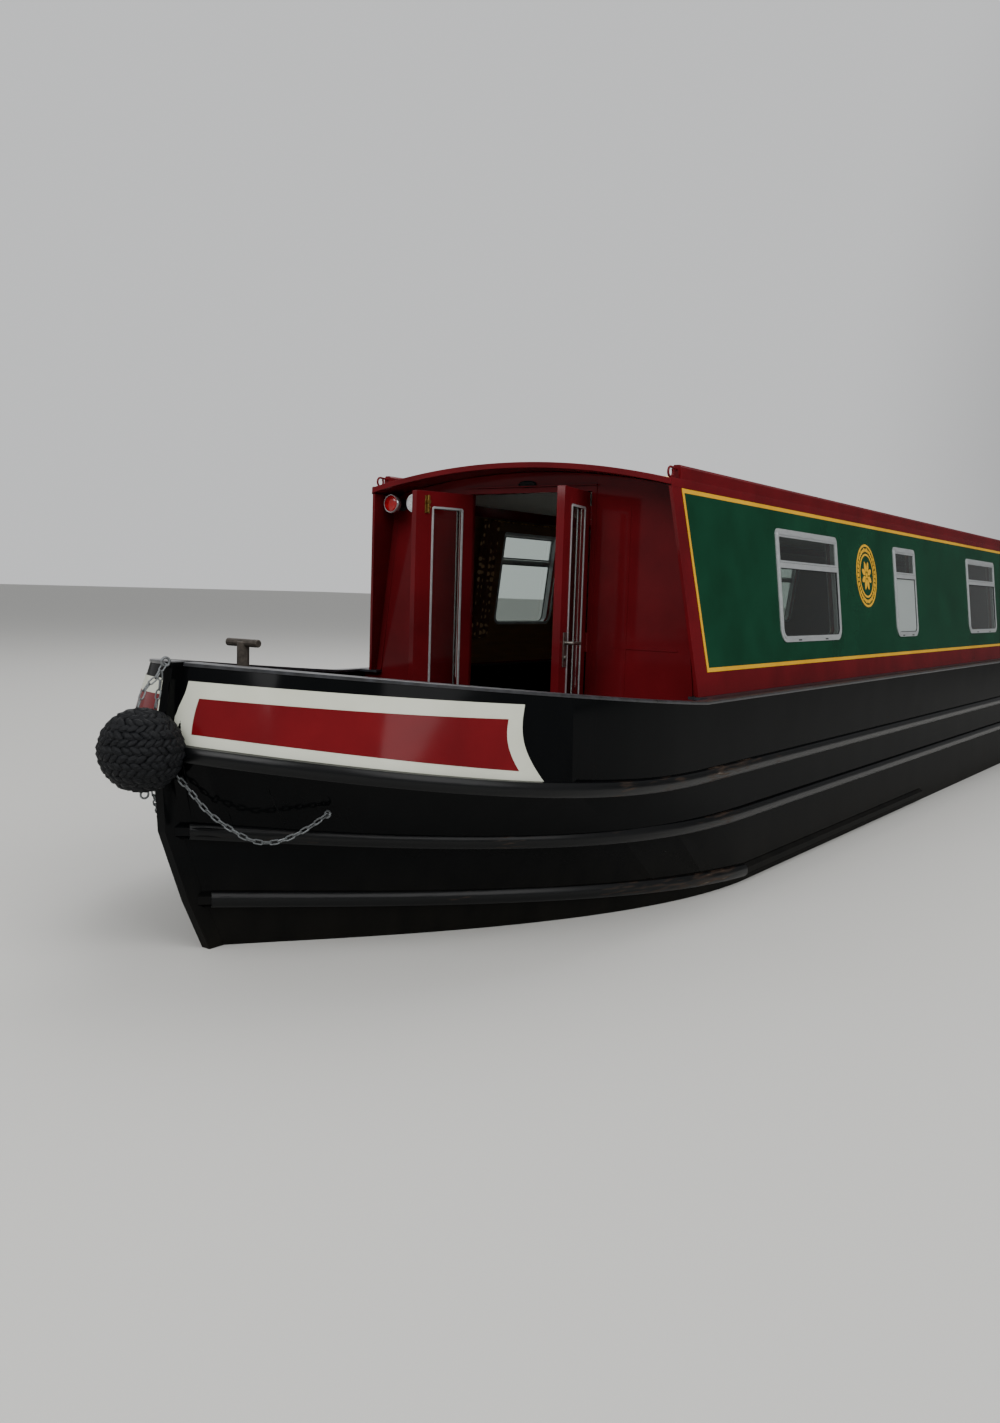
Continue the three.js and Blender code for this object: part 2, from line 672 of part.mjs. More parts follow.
function frontBulkhead() {
  const doorway = box(0, HALF_LENGTH, -DOORWAY_HALF, DOORWAY_HALF, SILL_Z, DOORWAY_TOP_Z);
  return crossWall(BULKHEAD_X - CABIN_WALL, BULKHEAD_X, CABIN_FLOOR_Z - 60).subtract(doorway);
}

function rearBulkhead() {
  const doorway = box(-HALF_LENGTH, 0, -REAR_HALF, REAR_HALF, REAR_SILL_Z, HIGH);
  return crossWall(CABIN_REAR, CABIN_REAR + CABIN_WALL, CABIN_FLOOR_Z - 60).subtract(doorway);
}

const REAR_LEAF_TOP_Z = 2236;

// Front door leaf about its hinge, closed: x inwards from the outer face, y from the hinge to the free edge
const HINGE_OUT = 5;             // the pin stands ahead of the bulkhead
const PANE = [72, 244, 1150, 2094]; // from the hinge, and heights

function doorSlab(side, [y0, y1, z0, z1], x0, x1) {
  const points = [[y0, z0], [y1, z0], [y1, z1], [y0, z1]];
  return prismX(outline(points.map(([y, z]) => [-side * y, z])), x0, x1);
}

function frontLeaf(side) {
  const [back, face] = [-HINGE_OUT - DOOR_PLATE, -HINGE_OUT];
  const leaf = doorSlab(side, [CLEAR, DOORWAY_HALF - 5, SILL_Z + CLEAR, DOORWAY_TOP_Z - CLEAR], back, face);
  const [a, b, c, d] = PANE;
  const middle = (back + face) / 2;
  const glass = doorSlab(side, [a - 5, b + 5, c - 5, d + 5], middle - 3, middle + 3);
  return leaf.subtract(doorSlab(side, PANE, back - 10, face + 10)).add(glass);
}

function rearLeaf(side) {
  const edges = [CLEAR, REAR_HALF - 5, REAR_SILL_Z + CLEAR, REAR_LEAF_TOP_Z];
  return doorSlab(side, edges, HINGE_OUT, HINGE_OUT + DOOR_PLATE);
}

function slideHatch() {
  const top = arcPoints(HATCH_HALF, -CLEAR - 26);
  const under = arcPoints(HATCH_HALF, -CLEAR).reverse();
  return prismX(outline([...top, ...under]), HATCH_X[0], HATCH_X[1]);
}

// Round lamp on a short stalk ahead of the front bulkhead: foot, stalk, body, bezel and domed lens
function lamp() {
  const profile = [
    [0, 0], [30, 0], [30, 8], [14, 10], [14, 44], [38, 56],
    [48, 82], [48, 96], [38, 102], [20, 108], [0, 110],
  ];
  return solid(spun(profile, 20).rotateY(Math.PI / 2));
}

function ventilator() {
  const profile = [[0, 0], [75, 0], [75, 8], [38, 12], [38, 50], [85, 54], [80, 70], [50, 84], [0, 90]];
  return solid(spun(profile));
}

const CURTAIN_X = [4425, 4600];
const CURTAIN_Z = [1440, 2110];

// Cloth drawn clear of the first window
function curtain(side) {
  const [x0, x1] = CURTAIN_X;
  const [z0, z1] = CURTAIN_Z;
  const cloth = outline([[x0, z0], [x1, z0], [x1, z1], [x0, z1]]);
  return onSide(cloth, CABIN_WALL + 45, -CABIN_WALL - 8, side);
}

// Stern

const DECK_HATCH_X = [-6330, -5880];
const DECK_HATCH_HALF = 350;
const DECK_PLATE = 20;

function sternDeck() {
  const hatch = box(
    DECK_HATCH_X[0] - CLEAR, DECK_HATCH_X[1] + CLEAR,
    -DECK_HATCH_HALF - CLEAR, DECK_HATCH_HALF + CLEAR, 0, HIGH,
  );
  const under = DECK_Z - DECK_PLATE;
  const plate = box(-HALF_LENGTH, CABIN_REAR - GAP, -HALF_BEAM, HALF_BEAM, under, DECK_Z).intersect(INSIDE);
  return plate.subtract(hatch).subtract(upright(STOCK_R + CLEAR, STOCK_X, 0, under - 10, DECK_Z + 10));
}

function deckHatch() {
  return box(...DECK_HATCH_X, -DECK_HATCH_HALF, DECK_HATCH_HALF, DECK_Z - DECK_PLATE, DECK_Z);
}

const RAIL_Z = 1890;
const RAIL_INSET = 90;
const RAIL_FRONT = -5950;
const RAIL_R = 17;
const RAIL_POST_R = 15;

// Taff rail round the stern deck, on upright posts
function sternRail() {
  const [, , , half] = LEVEL.top;
  const y0 = half - RAIL_INSET;
  const curve = endCurve(STERN.top, half, RAIL_INSET, 7);
  const port = [[RAIL_FRONT, y0], [RAIL_FRONT - 170, y0], ...curve.slice(0, -1)];
  const tip = curve[curve.length - 1];
  const route = [...port, tip, ...port.map(([x, y]) => [x, -y]).reverse()];
  const bar = tube(route.map(([x, y]) => [x, y, RAIL_Z]), RAIL_R, 20);
  const feet = [port[0], curve[2], curve[4]].flatMap(([x, y]) => [[x, y], [x, -y]]);
  const posts = [...feet, [tip[0] + 12, 0]]
    .map(([x, y]) => upright(RAIL_POST_R, x, y, DECK_Z + GAP, RAIL_Z, 8));
  return joined([bar, ...posts]);
}

// Mooring bollard with a flanged head
function dolly() {
  return solid(spun([[0, 0], [60, 0], [60, 8], [34, 12], [30, 90], [46, 96], [46, 110], [0, 110]], 16));
}

const STERN_FENDER_Z = 1120;

// Rope button hung at the tip of the stern, cut clear of the hull, the upper bar and the capping
function sternFender() {
  const profile = [[0, -10], [118, -10], [128, 40], [128, 110], [108, 170], [60, 214], [0, 220]];
  const tip = STERN.top[1];
  const button = solid(spun(profile).rotateY(-Math.PI / 2).translate(tip, 0, STERN_FENDER_Z));
  const capping = box(tip - 20, 0, -HALF_BEAM, HALF_BEAM, GUNWALE_Z - GUNWALE_PLATE - 1, HIGH);
  return button.subtract(OUTSIDE).subtract(strakeSpace()).subtract(capping);
}

// Flat bar that runs on from the baseplate to carry the foot of the rudder
function skeg() {
  const bar = box(STOCK_X - 100, -6500, -40, 40, 0, 2 * BASEPLATE);
  const plate = hullRing(['bottom', 'bottom', 0, -BASEPLATE_EDGE - GAP]).map((p) => [p.x, p.y]);
  return bar.subtract(prismZ(outline(plate), -5, BASEPLATE + GAP)).subtract(OUTSIDE);
}

function propellerBlade(turn) {
  const oval = new THREE.Shape(new THREE.EllipseCurve(95, 0, 80, 62, 0, 2 * Math.PI).getPoints(12));
  const blade = new THREE.ExtrudeGeometry(oval, { depth: 9, bevelEnabled: false });
  blade.translate(0, 0, -4.5).rotateX(THREE.MathUtils.degToRad(32)).rotateY(-Math.PI / 2);
  return solid(blade.rotateX(turn));
}

const SHAFT = 480;

// Three blades on a hub, with the shaft that turns with them
function propeller() {
  const blades = [0, 1, 2].map((i) => propellerBlade(i * 2 * Math.PI / 3));
  const hub = new THREE.CylinderGeometry(36, 30, 110, 16).rotateZ(Math.PI / 2);
  const shaft = new THREE.CylinderGeometry(SHAFT_R, SHAFT_R, SHAFT, 12).rotateZ(Math.PI / 2);
  return joined([...blades, solid(hub), solid(shaft.translate(SHAFT / 2, 0, 0))]);
}

const HEAD_Z = DECK_Z + 150;     // top of the rudder stock

function rudder() {
  const blade = outline([
    [125, 45], [125, 385], [90, 405], [-250, 405], [-300, 370], [-305, 100], [-260, 45],
  ]);
  return prismY(blade, -8, 8).add(upright(STOCK_R, 0, 0, 2 * BASEPLATE + CLEAR, HEAD_Z));
}

const TILLER_R = 17;

// Swan neck from the head of the rudder stock, then the bar forward
function tiller() {
  const path = [
    [0, 0, HEAD_Z + 3],
    [-6, 0, 1560],
    [-2, 0, 1720],
    [40, 0, 1880],
    [150, 0, 1985],
    [320, 0, 2030],
    [540, 0, 2062],
    [760, 0, 2090],
  ];
  const collar = upright(STOCK_R + 10, 0, 0, HEAD_Z + GAP, HEAD_Z + 40);
  return collar.add(tube(path, TILLER_R, 20));
}

const ENGINE = [-6270, -5630, -230, 230, 180, 740];

// The assembly

const boat = new THREE.Group();

function add(name, shape, colour, roughness = 0.5, metalness = 0, parent = boat) {
  const material = new THREE.MeshStandardMaterial({ color: colour, roughness, metalness });
  const mesh = new THREE.Mesh(geometryOf(shape), material);
  mesh.name = name;
  parent.add(mesh);
  return mesh;
}

function pivot(x, y, z) {
  const group = new THREE.Group();
  group.position.set(x, y, z);
  boat.add(group);
  return group;
}

const DOLLY_X = -6640;
const DOLLY_Y = 790;
const SIDES = [
  ['port', 1, PORT],
  ['stbd', -1, STBD],
];

add('baseplate', baseplate(), COLOUR.black, 0.8);
add('skeg', skeg(), COLOUR.black, 0.8);
add('stem_post', stemPost(), COLOUR.black, 0.3);
add('foredeck', foredeck(), COLOUR.grey, 0.6);
add('locker_bulkhead', lockerBulkhead(), COLOUR.red, 0.4);
add('locker_lid', sloped(LID_X[0], LID_X[1], LID_HALF, FOREDECK_PLATE), COLOUR.grey, 0.6);
add('well_floor', wellFloor(), COLOUR.grey, 0.7);
add('t_stud', tStud(), COLOUR.steel, 0.5, 0.8);
add('bow_fender', bowFender(), COLOUR.rope, 0.9);
add('fender_chain_top', topChain(), COLOUR.steel, 0.5, 0.9);
add('front_bulkhead', frontBulkhead(), COLOUR.red, 0.3);
add('cabin_roof', roof(), COLOUR.red, 0.4);
add('cabin_floor', cabinFloor(), COLOUR.floor, 0.7);
add('rear_bulkhead', rearBulkhead(), COLOUR.red, 0.4);
add('slide_hatch', slideHatch(), COLOUR.red, 0.4);
add('stern_deck', sternDeck(), COLOUR.grey, 0.6);
add('deck_hatch', deckHatch(), COLOUR.grey, 0.6);
add('stern_rail', sternRail(), COLOUR.red, 0.4);
add('stern_fender', sternFender(), COLOUR.rope, 0.9);
add('engine', box(...ENGINE), COLOUR.grey, 0.6, 0.3);

for (const [name, side, half] of SIDES) {
  add(`hull_side_${name}`, hullSide(half), COLOUR.black, 0.3);
  add(`rubbing_strake_${name}`, upperStrake(half), COLOUR.black, 0.5);
  add(`gunwale_${name}`, gunwale(half, side), COLOUR.black, 0.4);
  add(`fender_chain_${name}`, sideChain(side), COLOUR.steel, 0.5, 0.9);
  add(`cabin_side_${name}`, cabinSide(side), COLOUR.red, 0.3);
  add(`handrail_${name}`, handrail(side), COLOUR.red, 0.3);
  add(`curtain_${name}`, curtain(side), COLOUR.cloth, 0.9);
  windowsOn(side).forEach(([front, rear], i) => {
    add(`window_${name}_${i + 1}`, cabinWindow(front, rear, side), COLOUR.steel, 0.3, 0.8);
  });
  const angle = side > 0 ? PORT_DOOR_ANGLE : STBD_DOOR_ANGLE;
  const frontHinge = pivot(BULKHEAD_X + HINGE_OUT, side * DOORWAY_HALF, 0);
  frontHinge.rotation.z = side * THREE.MathUtils.degToRad(angle);
  add(`front_door_${name}`, frontLeaf(side), COLOUR.red, 0.3, 0, frontHinge);
  const rearHinge = pivot(CABIN_REAR - HINGE_OUT, side * REAR_HALF, 0);
  add(`rear_door_${name}`, rearLeaf(side), COLOUR.red, 0.3, 0, rearHinge);
  add(`dolly_${name}`, dolly(), COLOUR.steel, 0.5, 0.8, pivot(DOLLY_X, side * DOLLY_Y, DECK_Z + GAP));
}

const LAMPS = [['lamp_red', -760, COLOUR.lens], ['lamp_clear', -613, COLOUR.glass]];
const LAMP_Z = 2130;
for (const [name, y, colour] of LAMPS) add(name, lamp(), colour, 0.2, 0, pivot(BULKHEAD_X + GAP, y, LAMP_Z));

const VENTS = [3900, 900, -2600];
VENTS.forEach((x, i) => {
  add(`roof_vent_${i + 1}`, ventilator(), COLOUR.brass, 0.3, 0.9, pivot(x, 0, ROOF_CROWN_Z + GAP));
});

add('propeller', propeller(), COLOUR.brass, 0.4, 0.9, pivot(PROP_X, 0, PROP_Z));
add('rudder', rudder(), COLOUR.black, 0.6, 0, pivot(STOCK_X, 0, 0));
add('tiller', tiller(), COLOUR.brass, 0.3, 0.9, pivot(STOCK_X, 0, 0));

export default boat;
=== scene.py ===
import math
from functools import partial

import bmesh
import bpy
import numpy as np
from mathutils import Matrix, Vector
from mathutils.geometry import tessellate_polygon


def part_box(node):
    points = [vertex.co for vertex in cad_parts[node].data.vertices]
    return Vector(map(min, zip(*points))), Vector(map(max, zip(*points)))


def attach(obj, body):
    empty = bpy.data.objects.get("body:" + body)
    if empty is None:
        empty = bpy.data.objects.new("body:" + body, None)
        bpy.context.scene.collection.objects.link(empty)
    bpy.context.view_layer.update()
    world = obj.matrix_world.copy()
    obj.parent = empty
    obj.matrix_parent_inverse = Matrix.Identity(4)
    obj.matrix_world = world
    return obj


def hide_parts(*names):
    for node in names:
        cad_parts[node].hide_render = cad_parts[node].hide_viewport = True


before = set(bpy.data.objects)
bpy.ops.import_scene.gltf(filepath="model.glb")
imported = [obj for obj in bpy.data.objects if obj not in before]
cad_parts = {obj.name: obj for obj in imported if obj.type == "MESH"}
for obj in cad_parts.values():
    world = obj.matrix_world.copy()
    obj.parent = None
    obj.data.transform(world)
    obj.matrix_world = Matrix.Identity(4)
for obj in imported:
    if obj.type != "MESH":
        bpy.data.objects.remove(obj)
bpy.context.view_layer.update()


# Camera
# It stands off the port bow, a little above the gunwale. Its place and turn come from lining the hull's known
# sizes up with the picture, and its focal length is in pixels of the picture.
CAMERA_AT = Vector((9.865, 3.074, 1.717))
YAW, PITCH, ROLL = 0.6103, 0.1034, -0.0313
FOCAL_PX = 1165.4
PICTURE_HEIGHT_PX = 1423

level_ahead = Vector((-math.cos(YAW), -math.sin(YAW), 0))
to_right = level_ahead.cross(Vector((0, 0, 1)))
ahead = level_ahead * math.cos(PITCH) - Vector((0, 0, math.sin(PITCH)))
down = ahead.cross(to_right)
across = to_right * math.cos(ROLL) + down * math.sin(ROLL)
below = down * math.cos(ROLL) - to_right * math.sin(ROLL)
lens = bpy.data.cameras.new("camera")
lens.sensor_fit = "AUTO"
lens.sensor_width = 36.0
lens.lens = FOCAL_PX / PICTURE_HEIGHT_PX * lens.sensor_width
lens.clip_end = 500
camera = bpy.data.objects.new("camera", lens)
turn = Matrix((across, -below, -ahead)).transposed().to_4x4()
camera.matrix_world = Matrix.Translation(CAMERA_AT) @ turn
bpy.context.collection.objects.link(camera)
bpy.context.scene.camera = camera


# Studio
# A plain pale floor lies at the waterline, under soft light from a pale room and three large lamps.
WATERLINE_Z = 0.45


def linear(colour):
    """An sRGB hex colour as the linear values that a shader takes."""
    parts = [int(colour[i:i + 2], 16) / 255 for i in (1, 3, 5)]
    return tuple(p / 12.92 if p <= 0.04045 else ((p + 0.055) / 1.055) ** 2.4 for p in parts) + (1.0,)


def add_node(tree, kind, inputs=(), out=0, **settings):
    """Adds a node and gives one of its outputs. Inputs are pairs of a socket and its value or source."""
    node = tree.nodes.new("ShaderNode" + kind)
    for key, value in settings.items():
        setattr(node, key, value)
    for socket, value in inputs:
        if isinstance(value, bpy.types.NodeSocket):
            tree.links.new(value, node.inputs[socket])
        else:
            node.inputs[socket].default_value = value
    return node.outputs[out]


def new_material(name, **sockets):
    """A material with its one surface shader, whose sockets are set or linked by name."""
    material = bpy.data.materials.new(name)
    material.use_nodes = True
    tree = material.node_tree
    surface = tree.nodes["Principled BSDF"]
    for key, value in sockets.items():
        surface.inputs[key.replace("_", " ")].default_value = value
    return material, tree, surface


def per_metre(millimetres):
    """The scale of a pattern whose features are that far apart."""
    return 1000 / millimetres


def blend_colours(tree, share, first, second):
    """Mixes two colours, or outputs, by a share."""
    return add_node(tree, "Mix", [(0, share), (6, first), (7, second)], out=2, data_type="RGBA")


def emboss(material, height, strength, depth, sockets=("Normal",)):
    """Bends the light on a material by a height, to a depth in metres."""
    tree = material.node_tree
    bump = add_node(tree, "Bump", [("Height", height), ("Strength", strength), ("Distance", depth)])
    for socket in sockets:
        tree.links.new(bump, tree.nodes["Principled BSDF"].inputs[socket])


def mottled(name, colours, feature, rough, relief=(), contrast=(0, 1), stretch=None, boxed=False, **sockets):
    """A material that clouds from one colour to another.

    A feature is a noise's size in mm, its detail and its distortion. Roughness is one value, or two that the
    same noise runs between. Relief is a strength and a depth in metres, and a feature of its own if it has
    one. Contrast is the part of the noise that the colours span. The noise lies in the piece's own metres,
    drawn out along an axis whose stretch is below one, or is spread over the piece's box.
    """
    material, tree, surface = new_material(name, **sockets)
    place = []
    if not boxed:
        at = add_node(tree, "TexCoord", out="Object")
        if stretch:
            at = add_node(tree, "Mapping", [("Vector", at), ("Scale", stretch)])
        place = [("Vector", at)]

    def cloud(size, detail, distortion=0.0):
        inputs = [("Scale", per_metre(size)), ("Detail", detail), ("Distortion", distortion)]
        return add_node(tree, "TexNoise", place + inputs)

    clouds = share = cloud(*feature)
    if contrast != (0, 1):
        share = add_node(tree, "MapRange", [("Value", clouds), ("From Min", contrast[0]), ("From Max", contrast[1])])
    tree.links.new(blend_colours(tree, share, *map(linear, colours)), surface.inputs["Base Color"])
    if isinstance(rough, tuple):
        dull = add_node(tree, "MapRange", [("Value", clouds), ("To Min", rough[0]), ("To Max", rough[1])])
        tree.links.new(dull, surface.inputs["Roughness"])
    else:
        surface.inputs["Roughness"].default_value = rough
    if relief:
        strength, depth, *own = relief
        coated = ("Normal", "Coat Normal") if "Coat_Weight" in sockets else ("Normal",)
        emboss(material, cloud(*own) if own else clouds, strength, depth, coated)
    return material


# Painted cement floor: matt, pale grey, with a faint cloudiness
cement = mottled("painted_cement", ("#C9C8C4", "#D2D1CD"), (2500, 2), 0.75, boxed=True)
FLOOR_HALF = 150
floor_mesh = bpy.data.meshes.new("floor")
corners = [(x * FLOOR_HALF, y * FLOOR_HALF, WATERLINE_Z) for x, y in ((-1, -1), (1, -1), (1, 1), (-1, 1))]
floor_mesh.from_pydata(corners, [], [(0, 1, 2, 3)])
floor_mesh.materials.append(cement)
floor = bpy.data.objects.new("floor", floor_mesh)
bpy.context.collection.objects.link(floor)

# The room is brightest to the stern and starboard, and a dark screen stands off the port quarter, so that
# the long gloss sides aren't washed out by the pale wall that they would mirror
SCREEN_WAY = Vector((-0.94, 0.32, 0.09)).normalized()
room = bpy.data.worlds.new("pale_room")
room.use_nodes = True
tree = room.node_tree
toward = add_node(tree, "TexCoord", out="Generated")
shares = []
# Each way has the part of it where the light changes, then the light before and after
for way, begin, end, low, high in ((level_ahead, 0.45, 0.86, 0.55, 0.95), (SCREEN_WAY, 0.78, 0.97, 1.0, 0.25)):
    facing = add_node(tree, "VectorMath", [(0, toward), (1, way)], out="Value", operation="DOT_PRODUCT")
    spread = [("Value", facing), ("From Min", begin), ("From Max", end), ("To Min", low), ("To Max", high)]
    shares.append(add_node(tree, "MapRange", spread, interpolation_type="SMOOTHSTEP"))
brightness = add_node(tree, "Math", [(0, shares[0]), (1, shares[1])], operation="MULTIPLY")
backdrop = tree.nodes["Background"]
backdrop.inputs["Color"].default_value = linear("#E4E5E6")
tree.links.new(brightness, backdrop.inputs["Strength"])
bpy.context.scene.world = room

# Lamps: name, place, aimed at, size and power
LAMPS = [
    ("key_light", (8, 13, 12), (3, 0, 1), 14.0, 1700),
    ("fill_light", (17, 0, 10), (4, 0, 1), 8.0, 1000),
    ("top_light", (-3, -4, 14), (-2, 0, 1), 12.0, 1300),
]
for name, place, target, size, power in LAMPS:
    light = bpy.data.lights.new(name, "AREA")
    light.size = size
    light.energy = power
    lamp = bpy.data.objects.new(name, light)
    lamp.location = place
    lamp.rotation_euler = (Vector(target) - Vector(place)).to_track_quat("-Z", "Y").to_euler()
    bpy.context.collection.objects.link(lamp)


# Hull plating
# Steel plate, rolled to the bow and stern and welded, then painted gloss black. Each side is one skin over
# the frame's hull, lofted through its levels, with fine steps so that the gloss runs smoothly round the bow.

# Columns: z at the parallel body, rise at the stem, power of the rise, half breadth, x where the bow curve
# starts, x of the stem, then the two powers of the bow curve
LEVEL = {
    "bottom": (0.0103, 0, 1, 1.020, 4.400, 6.950, 2, 1),
    "chine": (0.440, 0, 1, 1.033, 4.950, 7.165, 2, 0.92),
    "low": (0.502, 0.132, 1, 1.035, 5.010, 7.260, 2.02, 0.9),
    "mid": (0.771, 0.118, 2.05, 1.038, 4.935, 7.360, 2.9, 0.8),
    "strake": (0.981, 0.176, 1.9, 1.041, 5.450, 7.380, 3.04, 1.586),
    "top": (1.290, 0.160, 1.106, 1.041, 5.478, 7.330, 2.825, 1.328),
}
# x where the stern curve starts, x of its end, then its two powers
STERN = {
    "bottom": (-4.300, -6.620, 2.2, 1),
    "swim": (-4.300, -6.640, 2.2, 1),
    "chine": (-6.250, -7.300, 2.2, 2),
    "low": (-6.250, -7.330, 2.2, 2),
    "mid": (-6.270, -7.370, 2.2, 2),
    "strake": (-6.300, -7.395, 2.2, 2),
    "top": (-6.300, -7.400, 2.2, 2),
}
BOW_STEPS = 90
STERN_STEPS = 40
DENSE = 600


def end_curve(start, tip, m, n, half, count):
    """Plan points of one end of a level, evenly along the curve, from the parallel body to the centre line."""
    t = np.sin(np.linspace(0, math.pi / 2, DENSE))
    x = start + (tip - start) * t
    y = half * np.maximum(0, 1 - t ** m) ** (1 / n)
    far = np.concatenate([[0], np.cumsum(np.hypot(np.diff(x), np.diff(y)))])
    wanted = far[-1] * np.linspace(0, 1, count)
    return np.column_stack([np.interp(wanted, far, x), np.interp(wanted, far, y)])


def level_curve(name, stern=None):
    """Port edge of a level from the stern's tip to the stem, as rows of x, y and z."""
    z, rise, power, half, start, tip, m, n = LEVEL[name]
    bow = end_curve(start, tip, m, n, half, BOW_STEPS)
    aft = end_curve(*STERN[stern or name], half, STERN_STEPS)[::-1]
    plan = np.vstack([aft, bow])
    share = np.clip((plan[:, 0] - start) / (tip - start), 0, 1)
    return np.column_stack([plan, z + rise * share ** power])


def outward(curve):
    """Unit normals of a level in plan, pointing away from the centre line."""
    along = np.gradient(curve[:, :2], axis=0)
    along /= np.linalg.norm(along, axis=1)[:, None]
    return np.column_stack([-along[:, 1], along[:, 0], np.zeros(len(curve))])


def moved_out(curve, distance):
    return curve + outward(curve) * distance


def loft(rings, looped=False, capped=True):
    """Joins closed rings of points by quads. A looped loft joins the last ring to the first."""
    points = [tuple(p) for ring in rings for p in ring]
    count = len(rings[0])
    pairs = len(rings) if looped else len(rings) - 1
    faces = []
    for r in range(pairs):
        near, far = r * count, (r + 1) % len(rings) * count
        for i in range(count):
            j = (i + 1) % count
            faces.append((near + i, near + j, far + j, far + i))
    if capped and not looped:
        faces.append(tuple(range(count))[::-1])
        faces.append(tuple(range(len(points) - count, len(points))))
    return points, faces


def piece(name, parts, slot, body="root", stands_for=(), crease=40, bevel=0.0, place=None):
    """Makes one object from lists of shapes by material, hangs it on the body that it rides on, and hides the frame
    nodes that it stands for.
    """
    points, faces, used = [], [], []
    for index, shapes in enumerate(parts.values()):
        for part_points, part_faces in shapes:
            first = len(points)
            points.extend(part_points)
            faces.extend(tuple(first + i for i in face) for face in part_faces)
            used.extend([index] * len(part_faces))
    mesh = bpy.data.meshes.new(name)
    mesh.from_pydata(points, [], faces)
    for material in parts:
        mesh.materials.append(material)
    mesh.polygons.foreach_set("material_index", used)
    if place is not None:
        mesh.transform(place)
    shape = bmesh.new()
    shape.from_mesh(mesh)
    bmesh.ops.recalc_face_normals(shape, faces=shape.faces)
    shape.to_mesh(mesh)
    shape.free()
    mesh.shade_smooth()
    mesh.set_sharp_from_angle(angle=math.radians(crease))
    made = bpy.data.objects.new(name, mesh)
    bpy.context.collection.objects.link(made)
    if bevel:
        soften(made, bevel)
    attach(made, body)
    if stands_for:
        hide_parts(*stands_for)
    return made


def soften(made, width):
    """Rounds the sharp edges of a piece a little, as welded, cast and painted edges are."""
    edge = made.modifiers.new("rounded_edges", "BEVEL")
    edge.width = width
    edge.segments = 2
    edge.limit_method = "ANGLE"
    edge.angle_limit = math.radians(35)
    edge.harden_normals = True


# Gloss black enamel over steel: a wet-looking black, hazed by washing and with mud dried on low down
MUD_Z = (0.44, 0.78)
hull_enamel, tree, surface = new_material("gloss_black_enamel", Specular_IOR_Level=0.0, Roughness=0.6,
                                          Coat_Weight=0.15, Coat_Roughness=0.10)
at = add_node(tree, "TexCoord", out="Object")
height = add_node(tree, "SeparateXYZ", [("Vector", at)], out="Z")
runs = add_node(tree, "Mapping", [("Vector", at), ("Scale", (1.0, 1.0, 0.12))])
haze = add_node(tree, "TexNoise", [("Vector", runs), ("Scale", per_metre(90)), ("Detail", 5.0)])
low_down = add_node(tree, "MapRange", [("Value", height), ("From Min", MUD_Z[0]), ("From Max", MUD_Z[1]),
                                       ("To Min", 1.0), ("To Max", 0.0)])
mud = add_node(tree, "Math", [(0, low_down), (1, haze)], operation="MULTIPLY")
black = blend_colours(tree, haze, linear("#050607"), linear("#0B0C0D"))
tree.links.new(blend_colours(tree, mud, black, linear("#1B1915")), surface.inputs["Base Color"])
ripple = add_node(tree, "TexNoise", [("Vector", at), ("Scale", per_metre(420)), ("Detail", 1.0)])
emboss(hull_enamel, ripple, 0.35, 0.012, ("Normal", "Coat Normal"))

# Bitumen: the dull black tar coat of the bottom, blotchy from its roller
bitumen = mottled("rolled_bitumen", ("#121110", "#2A2724"), (60, 6), 0.62, relief=(0.3, 0.002, 6, 3), IOR=1.6)

SKIN_OUT = 0.001
SKIN_IN = -0.008
UNDER_GUNWALE = 0.0123
upper_levels = [level_curve(name) for name in ("chine", "low", "mid", "strake", "top")]
upper_levels[-1][:, 2] -= UNDER_GUNWALE
lower_levels = [level_curve("bottom"), level_curve("chine", "swim")]


def mirrored(points, side):
    return [(x, side * y, z) for x, y, z in points]


def skin(levels, side):
    """A thin closed shell over a stack of levels."""
    outer = [moved_out(curve, SKIN_OUT) for curve in levels]
    inner = [moved_out(curve, SKIN_IN) for curve in levels]
    for curve in outer + inner:
        curve[:, 1] = np.maximum(curve[:, 1], 0.0005)
    ring_rows = outer + inner[::-1]
    columns = [mirrored([row[i] for row in ring_rows], side) for i in range(len(levels[0]))]
    return loft(columns)


SIDES = [("port", 1), ("stbd", -1)]
for side_name, side in SIDES:
    piece(f"hull_topsides_{side_name}", {hull_enamel: [skin(upper_levels, side)]}, "hull_black")
    piece(f"hull_bottom_{side_name}", {bitumen: [skin(lower_levels, side)]}, "bitumen_steel")


# Rubbing strakes
# Half-oval steel bar, welded along the hull at three levels to take its knocks. The paint is rubbed off their
# faces to brown rust and bright scratches, most of all where the bow turns.
BOW_TURN_X = 5.35
worn_enamel, tree, surface = new_material("rubbed_enamel_on_steel", Specular_IOR_Level=0.2)
at = add_node(tree, "TexCoord", out="Object")
along_boat = add_node(tree, "SeparateXYZ", [("Vector", at)], out="X")
long_marks = add_node(tree, "Mapping", [("Vector", at), ("Scale", (0.1, 0.1, 1.0))])
scratch = add_node(tree, "TexNoise", [("Vector", long_marks), ("Scale", per_metre(9)), ("Detail", 6.0)])
patch = add_node(tree, "TexNoise", [("Vector", at), ("Scale", per_metre(320)), ("Detail", 3.0)])
ahead_of_turn = add_node(tree, "Math", [(0, along_boat), (1, BOW_TURN_X)], operation="SUBTRACT")
from_turn = add_node(tree, "Math", [(0, ahead_of_turn)], operation="ABSOLUTE")
near_turn = add_node(tree, "MapRange", [("Value", from_turn), ("From Min", 0.3), ("From Max", 1.3),
                                        ("To Min", 0.10), ("To Max", -0.03)])
marks = add_node(tree, "Math", [(0, scratch), (1, patch)], operation="MULTIPLY")
wear = add_node(tree, "Math", [(0, marks), (1, near_turn)], operation="ADD")
